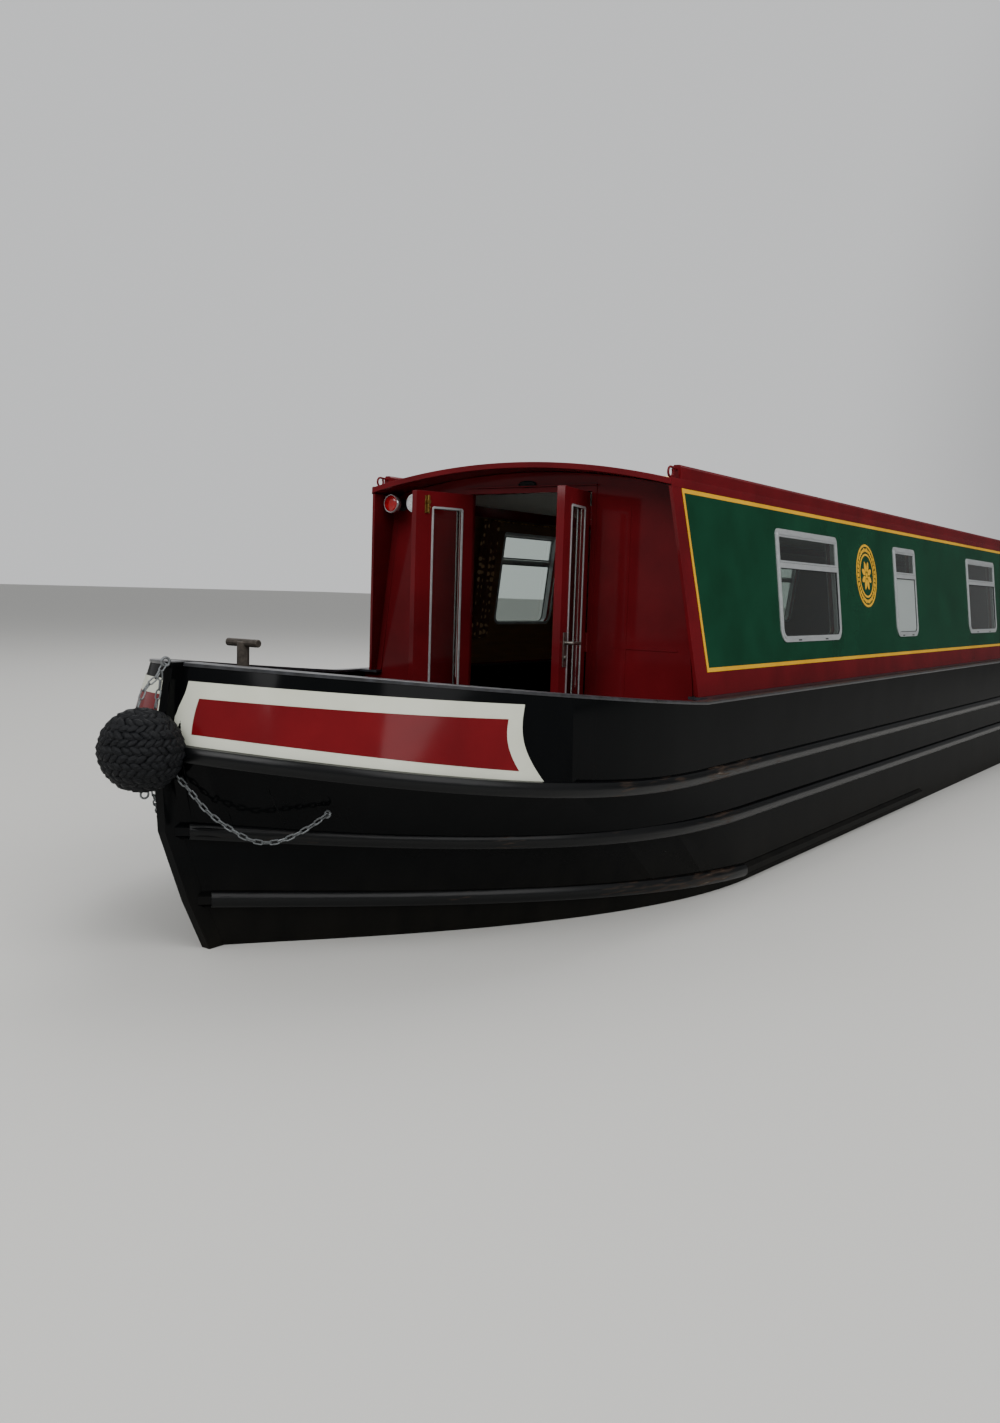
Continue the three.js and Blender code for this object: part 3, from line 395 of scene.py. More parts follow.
rust, bright = (add_node(tree, "MapRange", [("Value", wear), ("From Min", low), ("From Max", high)])
                for low, high in ((0.36, 0.50), (0.50, 0.58)))
rusted = blend_colours(tree, rust, linear("#0C0D0E"), linear("#3A2C22"))
tree.links.new(blend_colours(tree, bright, rusted, linear("#6B675F")), surface.inputs["Base Color"])
matt = add_node(tree, "MapRange", [("Value", rust), ("To Min", 0.28), ("To Max", 0.6)])
tree.links.new(matt, surface.inputs["Roughness"])
emboss(worn_enamel, scratch, 0.4, 0.001)

# Section of the bar: out from the plating and up
BAR = [(-0.004, -0.029), (0.016, -0.026), (0.0255, -0.015), (0.0275, 0), (0.0255, 0.015), (0.016, 0.026),
       (-0.004, 0.029)]


def clipped(curve, half_width):
    """The part of a level that lies outboard of the stem post."""
    return curve[curve[:, 1] >= half_width]


def bar_along(curve, section, side):
    """A bar of one section along a level."""
    return loft([mirrored([point + out * o + np.array((0, 0, u)) for o, u in section], side)
                 for point, out in zip(curve, outward(curve))])


STEM_HALF = 0.0203
LOWER_BAR_REAR = 1.0
for side_name, side in SIDES:
    for name, level, stands_for in (("upper", "strake", [f"rubbing_strake_{side_name}"]), ("middle", "mid", []),
                                    ("lower", "low", [])):
        curve = clipped(level_curve(level), STEM_HALF)
        if name == "lower":
            curve = curve[curve[:, 0] > LOWER_BAR_REAR]
        piece(f"{name}_rubbing_bar_{side_name}", {worn_enamel: [bar_along(curve, BAR, side)]}, "hull_black",
              stands_for=stands_for)


# Gunwale
# A flat steel capping welded round the top of the hull, wider along the cabin, where it is the side deck.
# Its top is the same black, dulled by wear and weather.
trodden_enamel = mottled("trodden_black_enamel", ("#17181A", "#33343A"), (35, 7), (0.18, 0.5),
                         relief=(0.2, 0.001), contrast=(0.35, 0.75), IOR=1.5)
GUNWALE_Z = LEVEL["top"][0]
GUNWALE_PLATE = 0.012
CAPPING = [(-0.055, -GUNWALE_PLATE), (0.0035, -GUNWALE_PLATE), (0.0045, -0.006), (0.0035, -0.001), (0.001, 0),
           (-0.055, 0)]
CABIN_REAR, CABIN_FRONT = -5.550, 5.330
DECK_INNER, DECK_OUTER = 0.882, 1.000


def extruded(section, x0, x1, side=1):
    """A bar of one (y, z) section along the boat."""
    return loft([[(x, side * y, z) for y, z in section] for x in (x0, x1)])


def block(x0, x1, y0, y1, z0, z1, side=1):
    return extruded([(y0, z0), (y1, z0), (y1, z1), (y0, z1)], x0, x1, side)


for side_name, side in SIDES:
    capping = bar_along(clipped(level_curve("top"), STEM_HALF), CAPPING, side)
    deck = block(CABIN_REAR, CABIN_FRONT, DECK_INNER, DECK_OUTER, GUNWALE_Z - GUNWALE_PLATE, GUNWALE_Z, side)
    piece(f"gunwale_capping_{side_name}", {trodden_enamel: [capping, deck]}, "hull_black",
          stands_for=[f"gunwale_{side_name}"])


# Bow flash
# A cream panel with a dark red one inside it, brushed on each bow between the gunwale and the upper strake.
# Its after end is a hollow curve. Both are thin coats of enamel that follow the rolled plate.
def coach_enamel(name, colour, shade):
    """Brushed gloss enamel under varnish: a deep, even colour with slow waves from the plate and the brush."""
    return mottled(name, (shade, colour), (260, 4), 0.6, relief=(0.25, 0.008, 500, 1.5), contrast=(0.3, 0.7),
                   Specular_IOR_Level=0.0, Coat_Weight=0.34, Coat_Roughness=0.09)


# Paint starts that far off the steel
COAT_FOOT = 0.0002
cream_enamel = coach_enamel("cream_coach_enamel", "#D3D5C6", "#C6C8B8")
flash_enamel = coach_enamel("dark_red_coach_enamel", "#6E1218", "#5E0E14")

strake_curve = level_curve("strake")
top_curve = level_curve("top")


def on_bow(x, share, out):
    """A port point of the bow plate at x, a share of the way from the upper strake to the gunwale."""
    rows = strake_curve * (1 - share) + top_curve * share
    normals = outward(rows)
    values = [np.interp(x, rows[-BOW_STEPS:, 0], column[-BOW_STEPS:]) for column in
              (rows[:, 1], rows[:, 2], normals[:, 0], normals[:, 1])]
    return (x + values[2] * out, values[0] + values[3] * out, values[1])


def bezier(p, q, r, s, count):
    """Points of a cubic curve."""
    t = np.linspace(0, 1, count)[:, None]
    p, q, r, s = (np.array(v, float) for v in (p, q, r, s))
    return p * (1 - t) ** 3 + 3 * q * t * (1 - t) ** 2 + 3 * r * t ** 2 * (1 - t) + s * t ** 3


FLASH_ROWS, FLASH_COLUMNS = 24, 60


def flash(front, aft, near, far, side):
    """A thin patch of paint on the bow. Front and aft are edges of (x, share), from the bottom up."""
    points = []
    for out in (near, far):
        for fore_end, after_end in zip(front, aft):
            for t in np.linspace(0, 1, FLASH_COLUMNS):
                points.append(on_bow(*(after_end + (fore_end - after_end) * t), out))
    size = FLASH_ROWS * FLASH_COLUMNS
    last_row = size - FLASH_COLUMNS
    faces = []
    for a in (r * FLASH_COLUMNS + c for r in range(FLASH_ROWS - 1) for c in range(FLASH_COLUMNS - 1)):
        b, d, e = a + 1, a + FLASH_COLUMNS, a + FLASH_COLUMNS + 1
        faces += [(a, b, e, d), (size + d, size + e, size + b, size + a)]
    rim = [*range(FLASH_COLUMNS), *range(2 * FLASH_COLUMNS - 1, size, FLASH_COLUMNS),
           *range(size - 2, last_row - 1, -1), *range(last_row - FLASH_COLUMNS, 0, -FLASH_COLUMNS)]
    faces += [(a, size + a, size + b, b) for a, b in zip(rim, rim[1:] + rim[:1])]
    return mirrored(points, side), faces


STEM_EDGE_X = [(0.04, 7.3755), (0.28, 7.365), (0.395, 7.358), (0.50, 7.351), (0.59, 7.344), (0.68, 7.337),
               (0.80, 7.329)]
cream_front = np.array([(np.interp(s, *zip(*STEM_EDGE_X)), s) for s in np.linspace(0.04, 0.80, FLASH_ROWS)])
cream_aft = bezier((6.505, 0.04), (6.610, 0.40), (6.590, 0.60), (6.566, 0.86), FLASH_ROWS)
red_front = bezier((7.352, 0.22), (7.345, 0.35), (7.335, 0.5), (7.325, 0.62), FLASH_ROWS)
red_aft = bezier((6.612, 0.18), (6.655, 0.40), (6.645, 0.55), (6.630, 0.70), FLASH_ROWS)
for side_name, side in SIDES:
    cream = flash(cream_front, cream_aft, COAT_FOOT, 0.0022, side)
    red = flash(red_front, red_aft, 0.0015, 0.0030, side)
    piece(f"cream_flash_{side_name}", {cream_enamel: [cream]}, "cream_band")
    piece(f"red_flash_{side_name}", {flash_enamel: [red]}, "cabin_red")


# Cabin sides
# Steel sheet, welded to lean inwards, with its windows cut. Crimson runs round the edges, and inside a golden
# coach line lies a long green panel. Each colour is brushed over the last, so each is a thin coat of its own.
crimson_enamel = coach_enamel("crimson_coach_enamel", "#66141A", "#561116")
green_enamel = coach_enamel("mid_green_coach_enamel", "#12402C", "#0D3523")
line_enamel = coach_enamel("golden_yellow_enamel", "#E8B02C", "#D8A026")

CABIN_FOOT, CABIN_TOP = 0.932, 0.818
ROOF_EDGE_Z = 2.204
FRONT_RAKE = 0.127 / (ROOF_EDGE_Z - GUNWALE_Z)
REAR_RAKE = -0.060 / (2.174 - GUNWALE_Z)
SIDE_LEAN = (CABIN_TOP - CABIN_FOOT) / (ROOF_EDGE_Z - GUNWALE_Z)
LATER_WINDOWS = [(2.448, 1.979), (0.621, -0.278), (-1.305, -1.775), (-3.130, -4.030)]
WINDOWS = {"port": [(4.367, 3.483)] + LATER_WINDOWS, "stbd": [(4.367, 3.735)] + LATER_WINDOWS}
WINDOW_Z = (1.506, 2.065)
WINDOW_CORNERS = (0.070, 0.034)
FRAME_WIDTH = 0.028


def on_side(side, x, z, out):
    """A point that far outside the face of the cabin side."""
    return (x, side * (CABIN_FOOT + SIDE_LEAN * (z - GUNWALE_Z) + out), z)


def slab(outlines, near, far, place):
    """A sheet between two depths. The first outline is its edge, and the others are holes."""
    triangles = tessellate_polygon([[Vector((u, v, 0)) for u, v in line] for line in outlines])
    corners = [corner for line in outlines for corner in line]
    count = len(corners)
    points = [place(u, v, near) for u, v in corners] + [place(u, v, far) for u, v in corners]
    faces = [tuple(t) for t in triangles] + [tuple(count + i for i in reversed(t)) for t in triangles]
    start = 0
    for line in outlines:
        for i in range(len(line)):
            a, b = start + i, start + (i + 1) % len(line)
            faces.append((a, b, count + b, count + a))
        start += len(line)
    return points, faces


def rounded(x0, x1, z0, z1, low, high=None, steps=8):
    """Outline of an upright panel, with one corner radius below and another above."""
    high = low if high is None else high
    points = []
    for x, z, radius, start in ((x0 + low, z0 + low, low, 180), (x1 - low, z0 + low, low, 270),
                                (x1 - high, z1 - high, high, 0), (x0 + high, z1 - high, high, 90)):
        for i in range(steps + 1):
            a = math.radians(start + 90 * i / steps)
            points.append((x + radius * math.cos(a), z + radius * math.sin(a)))
    return points


def window_outline(front, rear, inset, low_z=None, high_z=None):
    """The window frame's outline, set in by a distance, or a part of it between two heights."""
    low, high = (max(0.004, r - inset) for r in WINDOW_CORNERS)
    z0, z1 = WINDOW_Z[0] + inset, WINDOW_Z[1] - inset
    if low_z is not None:
        z0, low = low_z, 0.004
    if high_z is not None:
        z1, high = high_z, 0.004
    return rounded(rear + inset, front - inset, z0, z1, low, high)


LINE_MARGIN = (0.115, 0.088)
LINE_WIDTH = 0.017
LINE_Z = (1.393, 2.169)


def panel_outline(inset):
    """The long panel between the cabin's raked ends, set in by a distance from the coach line's outer edge."""
    z0, z1 = LINE_Z[0] + inset, LINE_Z[1] - inset
    front, rear = [], []
    for z, margin in zip((z0, z1), LINE_MARGIN):
        front.append(CABIN_FRONT + FRONT_RAKE * (z - GUNWALE_Z) - margin - inset)
        rear.append(CABIN_REAR + REAR_RAKE * (z - GUNWALE_Z) + margin + inset)
    return [(rear[0], z0), (front[0], z0), (front[1], z1), (rear[1], z1)]


LINING_IN = -0.0465
BULKHEAD_X = 5.287
oak_boards = mottled("varnished_oak_boards", ("#3A2415", "#7A5330"), (14, 8, 0.6), 0.42, stretch=(0.06, 1, 1),
                     Coat_Weight=0.3, Coat_Roughness=0.2)
wall = rounded(CABIN_REAR + 0.06, BULKHEAD_X - 0.06, 1.300, 2.120, 0.004, steps=1)
for side_name, side in SIDES:
    lay = partial(slab, place=partial(on_side, side))
    holes = [window_outline(*window, 0.010) for window in WINDOWS[side_name]]
    openings = [window_outline(*window, FRAME_WIDTH + 0.002) for window in WINDOWS[side_name]]
    green = lay([panel_outline(LINE_WIDTH)] + holes, COAT_FOOT, 0.0012)
    line = lay([panel_outline(0), panel_outline(LINE_WIDTH + 0.001)], COAT_FOOT, 0.0018)
    lining = lay([wall] + openings, LINING_IN, LINING_IN - 0.005)
    piece(f"green_panel_{side_name}", {green_enamel: [green]}, "cabin_green")
    piece(f"coach_line_{side_name}", {line_enamel: [line]}, "coach_line")
    piece(f"cabin_lining_{side_name}", {oak_boards: [lining]}, "cabin_lining")


# Windows
# Aluminium frames clamped into the steel, mill finished and gone satin, with a drop-in vent above a bar and
# a fixed pane below. The lower panes of the second and fourth windows are obscured, as in washrooms.
aluminium = mottled("weathered_mill_aluminium", ("#A9ADAF", "#CDD0D1"), (12, 6), (0.32, 0.55),
                    stretch=(0.2, 1, 1), Metallic=0.55)

# Float glass: clear, faintly green, with a sharp reflection
float_glass = new_material("float_glass", Base_Color=linear("#C6D2CC"), IOR=1.52, Roughness=0.01,
                           Transmission_Weight=1.0)[0]

# Obscured glass: rolled with a fine dimple, so that it shows as a pale even white
rolled_glass, tree, surface = new_material("obscured_rolled_glass", Base_Color=linear("#B9C2C0"), IOR=1.52,
                                           Roughness=0.3, Transmission_Weight=0.25)
dimple = add_node(tree, "TexVoronoi", [("Scale", per_metre(7))])
emboss(rolled_glass, dimple, 0.4, 0.001)

# Gasket rubber: black, matt, a little bloomed
gasket = mottled("gasket_rubber", ("#0E0E0F", "#1E1E1F"), (25, 4), 0.7, boxed=True)

BAR_FOOT, BAR_TOP = 1.873, 1.899
WEEP_SLOT = (0.045, 0.007)
WASHROOM_WINDOWS = (2, 4)
for side_name, side in SIDES:
    lay = partial(slab, place=partial(on_side, side))
    inner_trims = []
    for number, (front, rear) in enumerate(WINDOWS[side_name], 1):
        edge = partial(window_outline, front, rear)
        bar = rounded(rear + FRAME_WIDTH, front - FRAME_WIDTH, BAR_FOOT, BAR_TOP, 0.002, steps=1)
        metal = [
            lay([edge(0), edge(FRAME_WIDTH)], 0.0005, 0.006),
            lay([edge(0.017), edge(FRAME_WIDTH + 0.001)], -0.03, 0.0098),
            lay([bar], -0.004, 0.0098),
            lay([edge(FRAME_WIDTH + 0.002, low_z=BAR_TOP + 0.002), edge(FRAME_WIDTH + 0.011, low_z=BAR_TOP + 0.011)],
                -0.004, 0.007),
        ]
        piece(f"window_frame_{side_name}_{number}", {aluminium: metal}, "window_aluminium",
              stands_for=[f"window_{side_name}_{number}"], bevel=0.0015)
        inner_trims.append(lay([edge(FRAME_WIDTH - 0.014), edge(FRAME_WIDTH + 0.002)],
                               LINING_IN - 0.0052, LINING_IN - 0.0080))
        low_pane = lay([edge(FRAME_WIDTH + 0.0012, high_z=BAR_FOOT)], -0.003, 0.001)
        top_pane = lay([edge(FRAME_WIDTH + 0.004, low_z=BAR_TOP)], -0.001, 0.003)
        panes = {float_glass: [low_pane, top_pane]}
        if number in WASHROOM_WINDOWS:
            panes = {rolled_glass: [low_pane], float_glass: [top_pane]}
        piece(f"window_glass_{side_name}_{number}", panes, "window_glass")
        seal = [edge(FRAME_WIDTH + 0.0005, high_z=BAR_FOOT), edge(FRAME_WIDTH + 0.005, high_z=BAR_FOOT - 0.005)]
        rubber = [lay(seal, 0.001, 0.005)]
        slot_z = WINDOW_Z[0] + 0.005
        for share in (0.28, 0.72):
            start = rear + (front - rear) * share - WEEP_SLOT[0] / 2
            slot = rounded(start, start + WEEP_SLOT[0], slot_z, slot_z + WEEP_SLOT[1], 0.003, steps=3)
            rubber.append(lay([slot], 0.004, 0.0064))
        piece(f"window_seal_{side_name}_{number}", {gasket: rubber}, "seal_rubber")
    piece(f"window_inner_trim_{side_name}", {aluminium: inner_trims}, "window_aluminium", bevel=0.0008)


# Side ornament
# A generic signwriter's roundel in gold on the green: two rings with beads between them, round a plain
# eight-petalled rosette. It is laid on as thin gold-coloured enamel between the first two windows.
ROUNDEL_AT = (2.983, 1.870)
ROUNDEL_R = 0.183
BEADS = 36
PETALS = 8


def turns(count):
    """That many angles, evenly round a circle."""
    return [2 * math.pi * k / count for k in range(count)]


def circle(x, z, radius, steps=48):
    return [(x + radius * math.cos(a), z + radius * math.sin(a)) for a in turns(steps)]


def petal(x, z, angle, near, far, width):
    """A leaf-shaped outline that points away from the roundel's centre."""
    out = Vector((math.cos(angle), math.sin(angle)))
    aside = Vector((-out.y, out.x))
    half = [(near + (far - near) * i / 8, width * math.sin(math.pi * i / 8) ** 0.8) for i in range(9)]
    edge = [out * a + aside * b for a, b in half] + [out * a - aside * b for a, b in half[-2:0:-1]]
    return [(x + p.x, z + p.y) for p in edge]


x, z = ROUNDEL_AT
marks = [[circle(x, z, ROUNDEL_R * a), circle(x, z, ROUNDEL_R * b)] for a, b in ((1, 0.93), (0.70, 0.64))]
for i, a in enumerate(turns(BEADS)):
    share, bead = (0.815, 0.0105) if i % 2 else (0.825, 0.0125)
    radius = ROUNDEL_R * share
    marks.append([circle(x + radius * math.cos(a), z + radius * math.sin(a), bead, 12)])
marks += [[petal(x, z, math.pi / PETALS + a, 0.020, 0.088, 0.017)] for a in turns(PETALS)]
marks.append([circle(x, z, 0.016, 24)])
for side_name, side in SIDES:
    gold = [slab(mark, 0.0008, 0.0022, partial(on_side, side)) for mark in marks]
    piece(f"gold_roundel_{side_name}", {line_enamel: gold}, "coach_line")


# Roof
# One rolled steel sheet with a low crown, welded along the sides under a handrail, and ending in a thick lip
# over the front bulkhead. A closing strip makes the sides, roof edge and rail one painted face.
ROOF_FRONT = CABIN_FRONT + 0.132
ROOF_REAR = CABIN_REAR - 0.065
ROOF_CROWN_Z = 2.296
ROOF_PLATE = 0.026
ROOF_HALF = 0.820
ROOF_RADIUS = (CABIN_TOP ** 2 + (ROOF_CROWN_Z - ROOF_EDGE_Z) ** 2) / (2 * (ROOF_CROWN_Z - ROOF_EDGE_Z))


def roof_z(y, drop=0.0):
    return ROOF_CROWN_Z - ROOF_RADIUS + math.sqrt((ROOF_RADIUS - drop) ** 2 - y ** 2)


def arched(x0, x1, y0, y1, under, over, steps):
    """A plate that follows the roof's crown between two widths and two heights above it."""
    ys = [y0 + (y1 - y0) * i / steps for i in range(steps + 1)]
    return extruded([(y, roof_z(y, -over)) for y in ys] + [(y, roof_z(y, -under)) for y in reversed(ys)], x0, x1)


HATCH_HALF = 0.300
HATCH_OPENING_FRONT = -4.920
HATCH_RUNNER = (-5.600, -4.080, 0.352, 0.376, 2.265, 2.320)
roof_parts = [arched(HATCH_OPENING_FRONT, ROOF_FRONT, -ROOF_HALF, ROOF_HALF, -ROOF_PLATE, 0.0, 48)]
for side_name, side in SIDES:
    y0, y1 = sorted((side * HATCH_HALF, side * ROOF_HALF))
    roof_parts.append(arched(ROOF_REAR, HATCH_OPENING_FRONT, y0, y1, -ROOF_PLATE, 0.0, 16))
    roof_parts.append(block(*HATCH_RUNNER, side))
piece("roof_sheet", {crimson_enamel: roof_parts}, "cabin_red", stands_for=["cabin_roof"], bevel=0.003)

RAIL_FRONT = 5.370
STRIP_Z = 2.1715
strip_foot = CABIN_FOOT + SIDE_LEAN * (STRIP_Z - GUNWALE_Z)
STRIP = [(strip_foot + COAT_FOOT, STRIP_Z), (strip_foot + 0.0010, STRIP_Z), (0.8208, 2.204), (0.8188, 2.2075),
         (0.8080, 2.2080), (0.8080, 2.2070), (0.8180, 2.2050)]
RAIL = [(0.8190, 2.2060), (0.8187, 2.256), (0.8100, 2.2668), (0.7860, 2.2668), (0.7775, 2.258), (0.7775, 2.2140)]
for side_name, side in SIDES:
    covers = [extruded(STRIP, CABIN_REAR - 0.055, ROOF_FRONT - 0.004, side),
              extruded(RAIL, CABIN_REAR + 0.0995, RAIL_FRONT, side)]
    piece(f"handrail_cover_{side_name}", {crimson_enamel: covers}, "cabin_red",
          stands_for=[f"handrail_{side_name}"], bevel=0.0025)


# Frame nodes that keep their shape
# Plates, decks, doors and machinery that the frame already shapes right. They get their paint here, and the
# edges that a hand could touch are rounded a little.

# Deck paint: matt grey, gritty to the foot and soiled
deck_paint = mottled("grit_deck_paint", ("#2C2F32", "#4C4F50"), (260, 5), 0.78, relief=(0.6, 0.0015, 4, 4), IOR=1.45)
# Bare steel, rubbed bright in places
worn_steel = mottled("rope_worn_steel", ("#4E4A45", "#A8A49C"), (22, 7), (0.6, 0.3), Metallic=1.0)
# Brass, bright with a little tarnish
polished_brass = mottled("polished_brass", ("#8A6A2C", "#D6AE58"), (30, 5), (0.35, 0.18), Metallic=1.0)
# Sand-cast bronze, brown and dull
cast_bronze = mottled("cast_bronze", ("#5C4A28", "#A07C42"), (50, 6), 0.45, Metallic=1.0)
# Peeled plywood under varnish, with its figure drawn out along the boat
floor_ply = mottled("varnished_floor_ply", ("#5A3F26", "#8C6A45"), (45, 7, 1.2), 0.5, stretch=(0.08, 1, 1),
                    Coat_Weight=0.2, Coat_Roughness=0.3)
# Engine enamel: blue grey with oily patches
engine_paint = mottled("engine_enamel", ("#22303A", "#43586A"), (120, 6), 0.45, boxed=True)


def repaint(name, material, edge=0.0):
    """Gives a frame node its paint, and rounds its sharp edges without touching its mesh."""
    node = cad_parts[name]
    node.data.materials.clear()
    node.data.materials.append(material)
    if edge:
        weld = node.modifiers.new("welded_corners", "WELD")
        weld.merge_threshold = 0.00002
        soften(node, edge)


for material, edges in (
    (bitumen, {"baseplate": 0.002, "skeg": 0.002, "rudder": 0.002}),
    (hull_enamel, {"hull_side_port": 0, "hull_side_stbd": 0, "stem_post": 0.006}),
    (deck_paint, {"foredeck": 0.002, "locker_lid": 0.002, "well_floor": 0, "stern_deck": 0, "deck_hatch": 0.003}),
    (crimson_enamel, {"locker_bulkhead": 0, "front_bulkhead": 0.001, "rear_bulkhead": 0.001, "slide_hatch": 0.003,
                      "cabin_side_port": 0.001, "cabin_side_stbd": 0.001, "rear_door_port": 0.002,
                      "rear_door_stbd": 0.002}),
    (floor_ply, {"cabin_floor": 0}),
    (engine_paint, {"engine": 0.006}),
    (cast_bronze, {"propeller": 0.002}),
):
    for name, edge in edges.items():
        repaint(name, material, edge)


# Front bulkhead fittings
# A flat steel trim welded round the doorway, a drip strip over it, an oval vent with a louvred plate let into
# the lintel, and on the port side a low pressed panel and a bead, all under the same crimson.
DOORWAY_HALF = 0.343
DOORWAY_TOP_Z = 2.174
SILL_Z = 0.720
TRIM_WIDTH = 0.024


def facing_forward(y, z, x):
    return (BULKHEAD_X + x, y, z)


on_bulkhead = partial(slab, near=COAT_FOOT, place=facing_forward)
trim_inner = [(-DOORWAY_HALF, SILL_Z), (-DOORWAY_HALF, DOORWAY_TOP_Z), (DOORWAY_HALF, DOORWAY_TOP_Z),
              (DOORWAY_HALF, SILL_Z)]
trim_outer = [(math.copysign(abs(y) + TRIM_WIDTH, y), z + (TRIM_WIDTH if z > SILL_Z else 0)) for y, z in trim_inner]
trim = on_bulkhead([trim_inner + trim_outer[::-1]], far=0.0045)
drip = block(BULKHEAD_X + COAT_FOOT, BULKHEAD_X + 0.020, -DOORWAY_HALF - 0.03, DOORWAY_HALF + 0.03, 2.1995, 2.2045)
pressed = on_bulkhead([rounded(0.398, 0.546, 1.010, 2.106, 0.012, steps=4)], far=0.0018)
bead = on_bulkhead([rounded(0.460, 0.800, 1.474, 1.484, 0.004, steps=4)], far=0.0030)
piece("bulkhead_trim", {crimson_enamel: [trim, drip, pressed, bead]}, "cabin_red", bevel=0.0012)

VENT_Y, VENT_Z = -0.010, 2.213
LOUVRES = [(-0.009, 0.030), (-0.003, 0.040), (0.003, 0.040), (0.009, 0.030)]
vent_plate = [(VENT_Y + 0.050 * math.cos(a), VENT_Z + 0.017 * math.sin(a)) for a in turns(32)]
louvres = []
for up, half in LOUVRES:
    z = VENT_Z + up
    blade = rounded(VENT_Y - half, VENT_Y + half, z - 0.0015, z + 0.0015, 0.001, steps=2)
    louvres.append(slab([blade], 0.004, 0.0075, facing_forward))
piece("lintel_vent", {hull_enamel: [on_bulkhead([vent_plate], far=0.005)], gasket: louvres}, "hull_black",
      bevel=0.001)
threshold = block(BULKHEAD_X - 0.045, BULKHEAD_X + 0.012, -DOORWAY_HALF + 0.002, DOORWAY_HALF - 0.002,
                  SILL_Z + 0.0005, SILL_Z + 0.0045)
piece("door_threshold", {aluminium: [threshold]}, "window_aluminium", bevel=0.001)


# Front doors
# Two narrow steel-faced leaves, painted crimson on both faces, that open forward on three hinges each. Each
# has a tall pane in a slim aluminium frame. A bronze bolt is on the inner face of the starboard leaf, near
# its head, and the port leaf carries the lock with its lever.
HINGE_X = 5.292
DOOR_ANGLE = {"port": 102, "stbd": -106}
HINGE_Z = (0.90, 1.45, 2.02)
KNUCKLE_PITCH = 0.030
LEAF_FAR, LEAF_NEAR = -0.040, -0.005
LEAF = (0.006, 0.338, 0.726, 2.168)
PANE_Y0, PANE_Y1, PANE_Z0, PANE_Z1 = 0.072, 0.244, 1.150, 2.094


def hinged(side_name, side):
    """The place of a front leaf, from where it would be closed with its hinge at the origin."""
    spin = Matrix.Rotation(math.radians(DOOR_ANGLE[side_name]), 4, "Z")
    return Matrix.Translation((HINGE_X, side * DOORWAY_HALF, 0)) @ spin


def on_leaf(side, y, z, x):
    return (x, -side * y, z)


def pane_edge(grow, radius):
    return rounded(PANE_Y0 - grow, PANE_Y1 + grow, PANE_Z0 - grow, PANE_Z1 + grow, radius, steps=4)


def around(along):
    """Gives the unit vector at any angle round an axis."""
    aside = along.orthogonal().normalized()
    other = along.cross(aside)
    return lambda a: aside * math.cos(a) + other * math.sin(a)


def pin(a, b, radius, sides=20):
    """A round bar between two points."""
    a, b = Vector(a), Vector(b)
    aside = around((b - a).normalized())
    return loft([[tuple(end + aside(t) * radius) for t in turns(sides)] for end in (a, b)])


def smooth_path(points, steps):
    """Points of a smooth curve through a few given ones."""
    p = [np.array(q, float) for q in points]
    p = [2 * p[0] - p[1]] + p + [2 * p[-1] - p[-2]]
    path = []
    for i in range(1, len(p) - 2):
        for k in range(steps):
            t = k / steps
            path.append(0.5 * (2 * p[i] + (p[i + 1] - p[i - 1]) * t
                               + (2 * p[i - 1] - 5 * p[i] + 4 * p[i + 1] - p[i + 2]) * t ** 2
                               + (3 * p[i] - p[i - 1] - 3 * p[i + 1] + p[i + 2]) * t ** 3))
    return path + [p[-2]]


def tube(path, radius, sides=16, looped=False, capped=True):
    """A round bar bent along a path, with its section carried along without a twist."""
    path = [Vector(p) for p in path]
    count = len(path)
    rings = []
    aside = None
    for i, p in enumerate(path):
        after = path[(i + 1) % count] if looped or i < count - 1 else p
        before = path[i - 1] if looped or i > 0 else p
        along = (after - before).normalized()
        aside = along.orthogonal() if aside is None else aside - along * aside.dot(along)
        aside.normalize()
        other = along.cross(aside)
        width = radius(i / (count - 1)) if callable(radius) else radius
        rings.append([tuple(p + (aside * math.cos(a) + other * math.sin(a)) * width) for a in turns(sides)])
    return loft(rings, looped=looped, capped=capped)


for side_name, side in SIDES:
    fitted = {"body": f"front_door_{side_name}", "place": hinged(side_name, side)}
    lay = partial(slab, place=partial(on_leaf, side))
    leaf = lay([rounded(*LEAF, 0.004, steps=3), pane_edge(0, 0.010)], LEAF_FAR, LEAF_NEAR)
    piece(f"front_leaf_{side_name}", {crimson_enamel: [leaf]}, "cabin_red", stands_for=[f"front_door_{side_name}"],
          bevel=0.0025, **fitted)
    sash = [pane_edge(0.005, 0.012), pane_edge(-0.005, 0.006)]
    sashes = [lay(sash, LEAF_NEAR - 0.001, LEAF_NEAR + 0.0035), lay(sash, LEAF_FAR - 0.0035, LEAF_FAR + 0.001)]
    piece(f"front_leaf_sash_{side_name}", {aluminium: sashes}, "window_aluminium", bevel=0.001, **fitted)
    middle = (LEAF_FAR + LEAF_NEAR) / 2
    pane = lay([pane_edge(-0.001, 0.006)], middle - 0.0025, middle + 0.0025)
    piece(f"front_leaf_glass_{side_name}", {float_glass: [pane]}, "window_glass", **fitted)
    hinges = []
    for z in HINGE_Z:
        for foot in (z, z + KNUCKLE_PITCH, z + 2 * KNUCKLE_PITCH):
            hinges.append(pin((0, 0, foot), (0, 0, foot + 0.028), 0.0065))
        hinges.append(block(-0.0055, -0.0030, -0.036, 0, z + 0.001, z + 0.087, side))
    piece(f"front_leaf_hinges_{side_name}", {crimson_enamel: hinges}, "cabin_red", bevel=0.0008, **fitted)

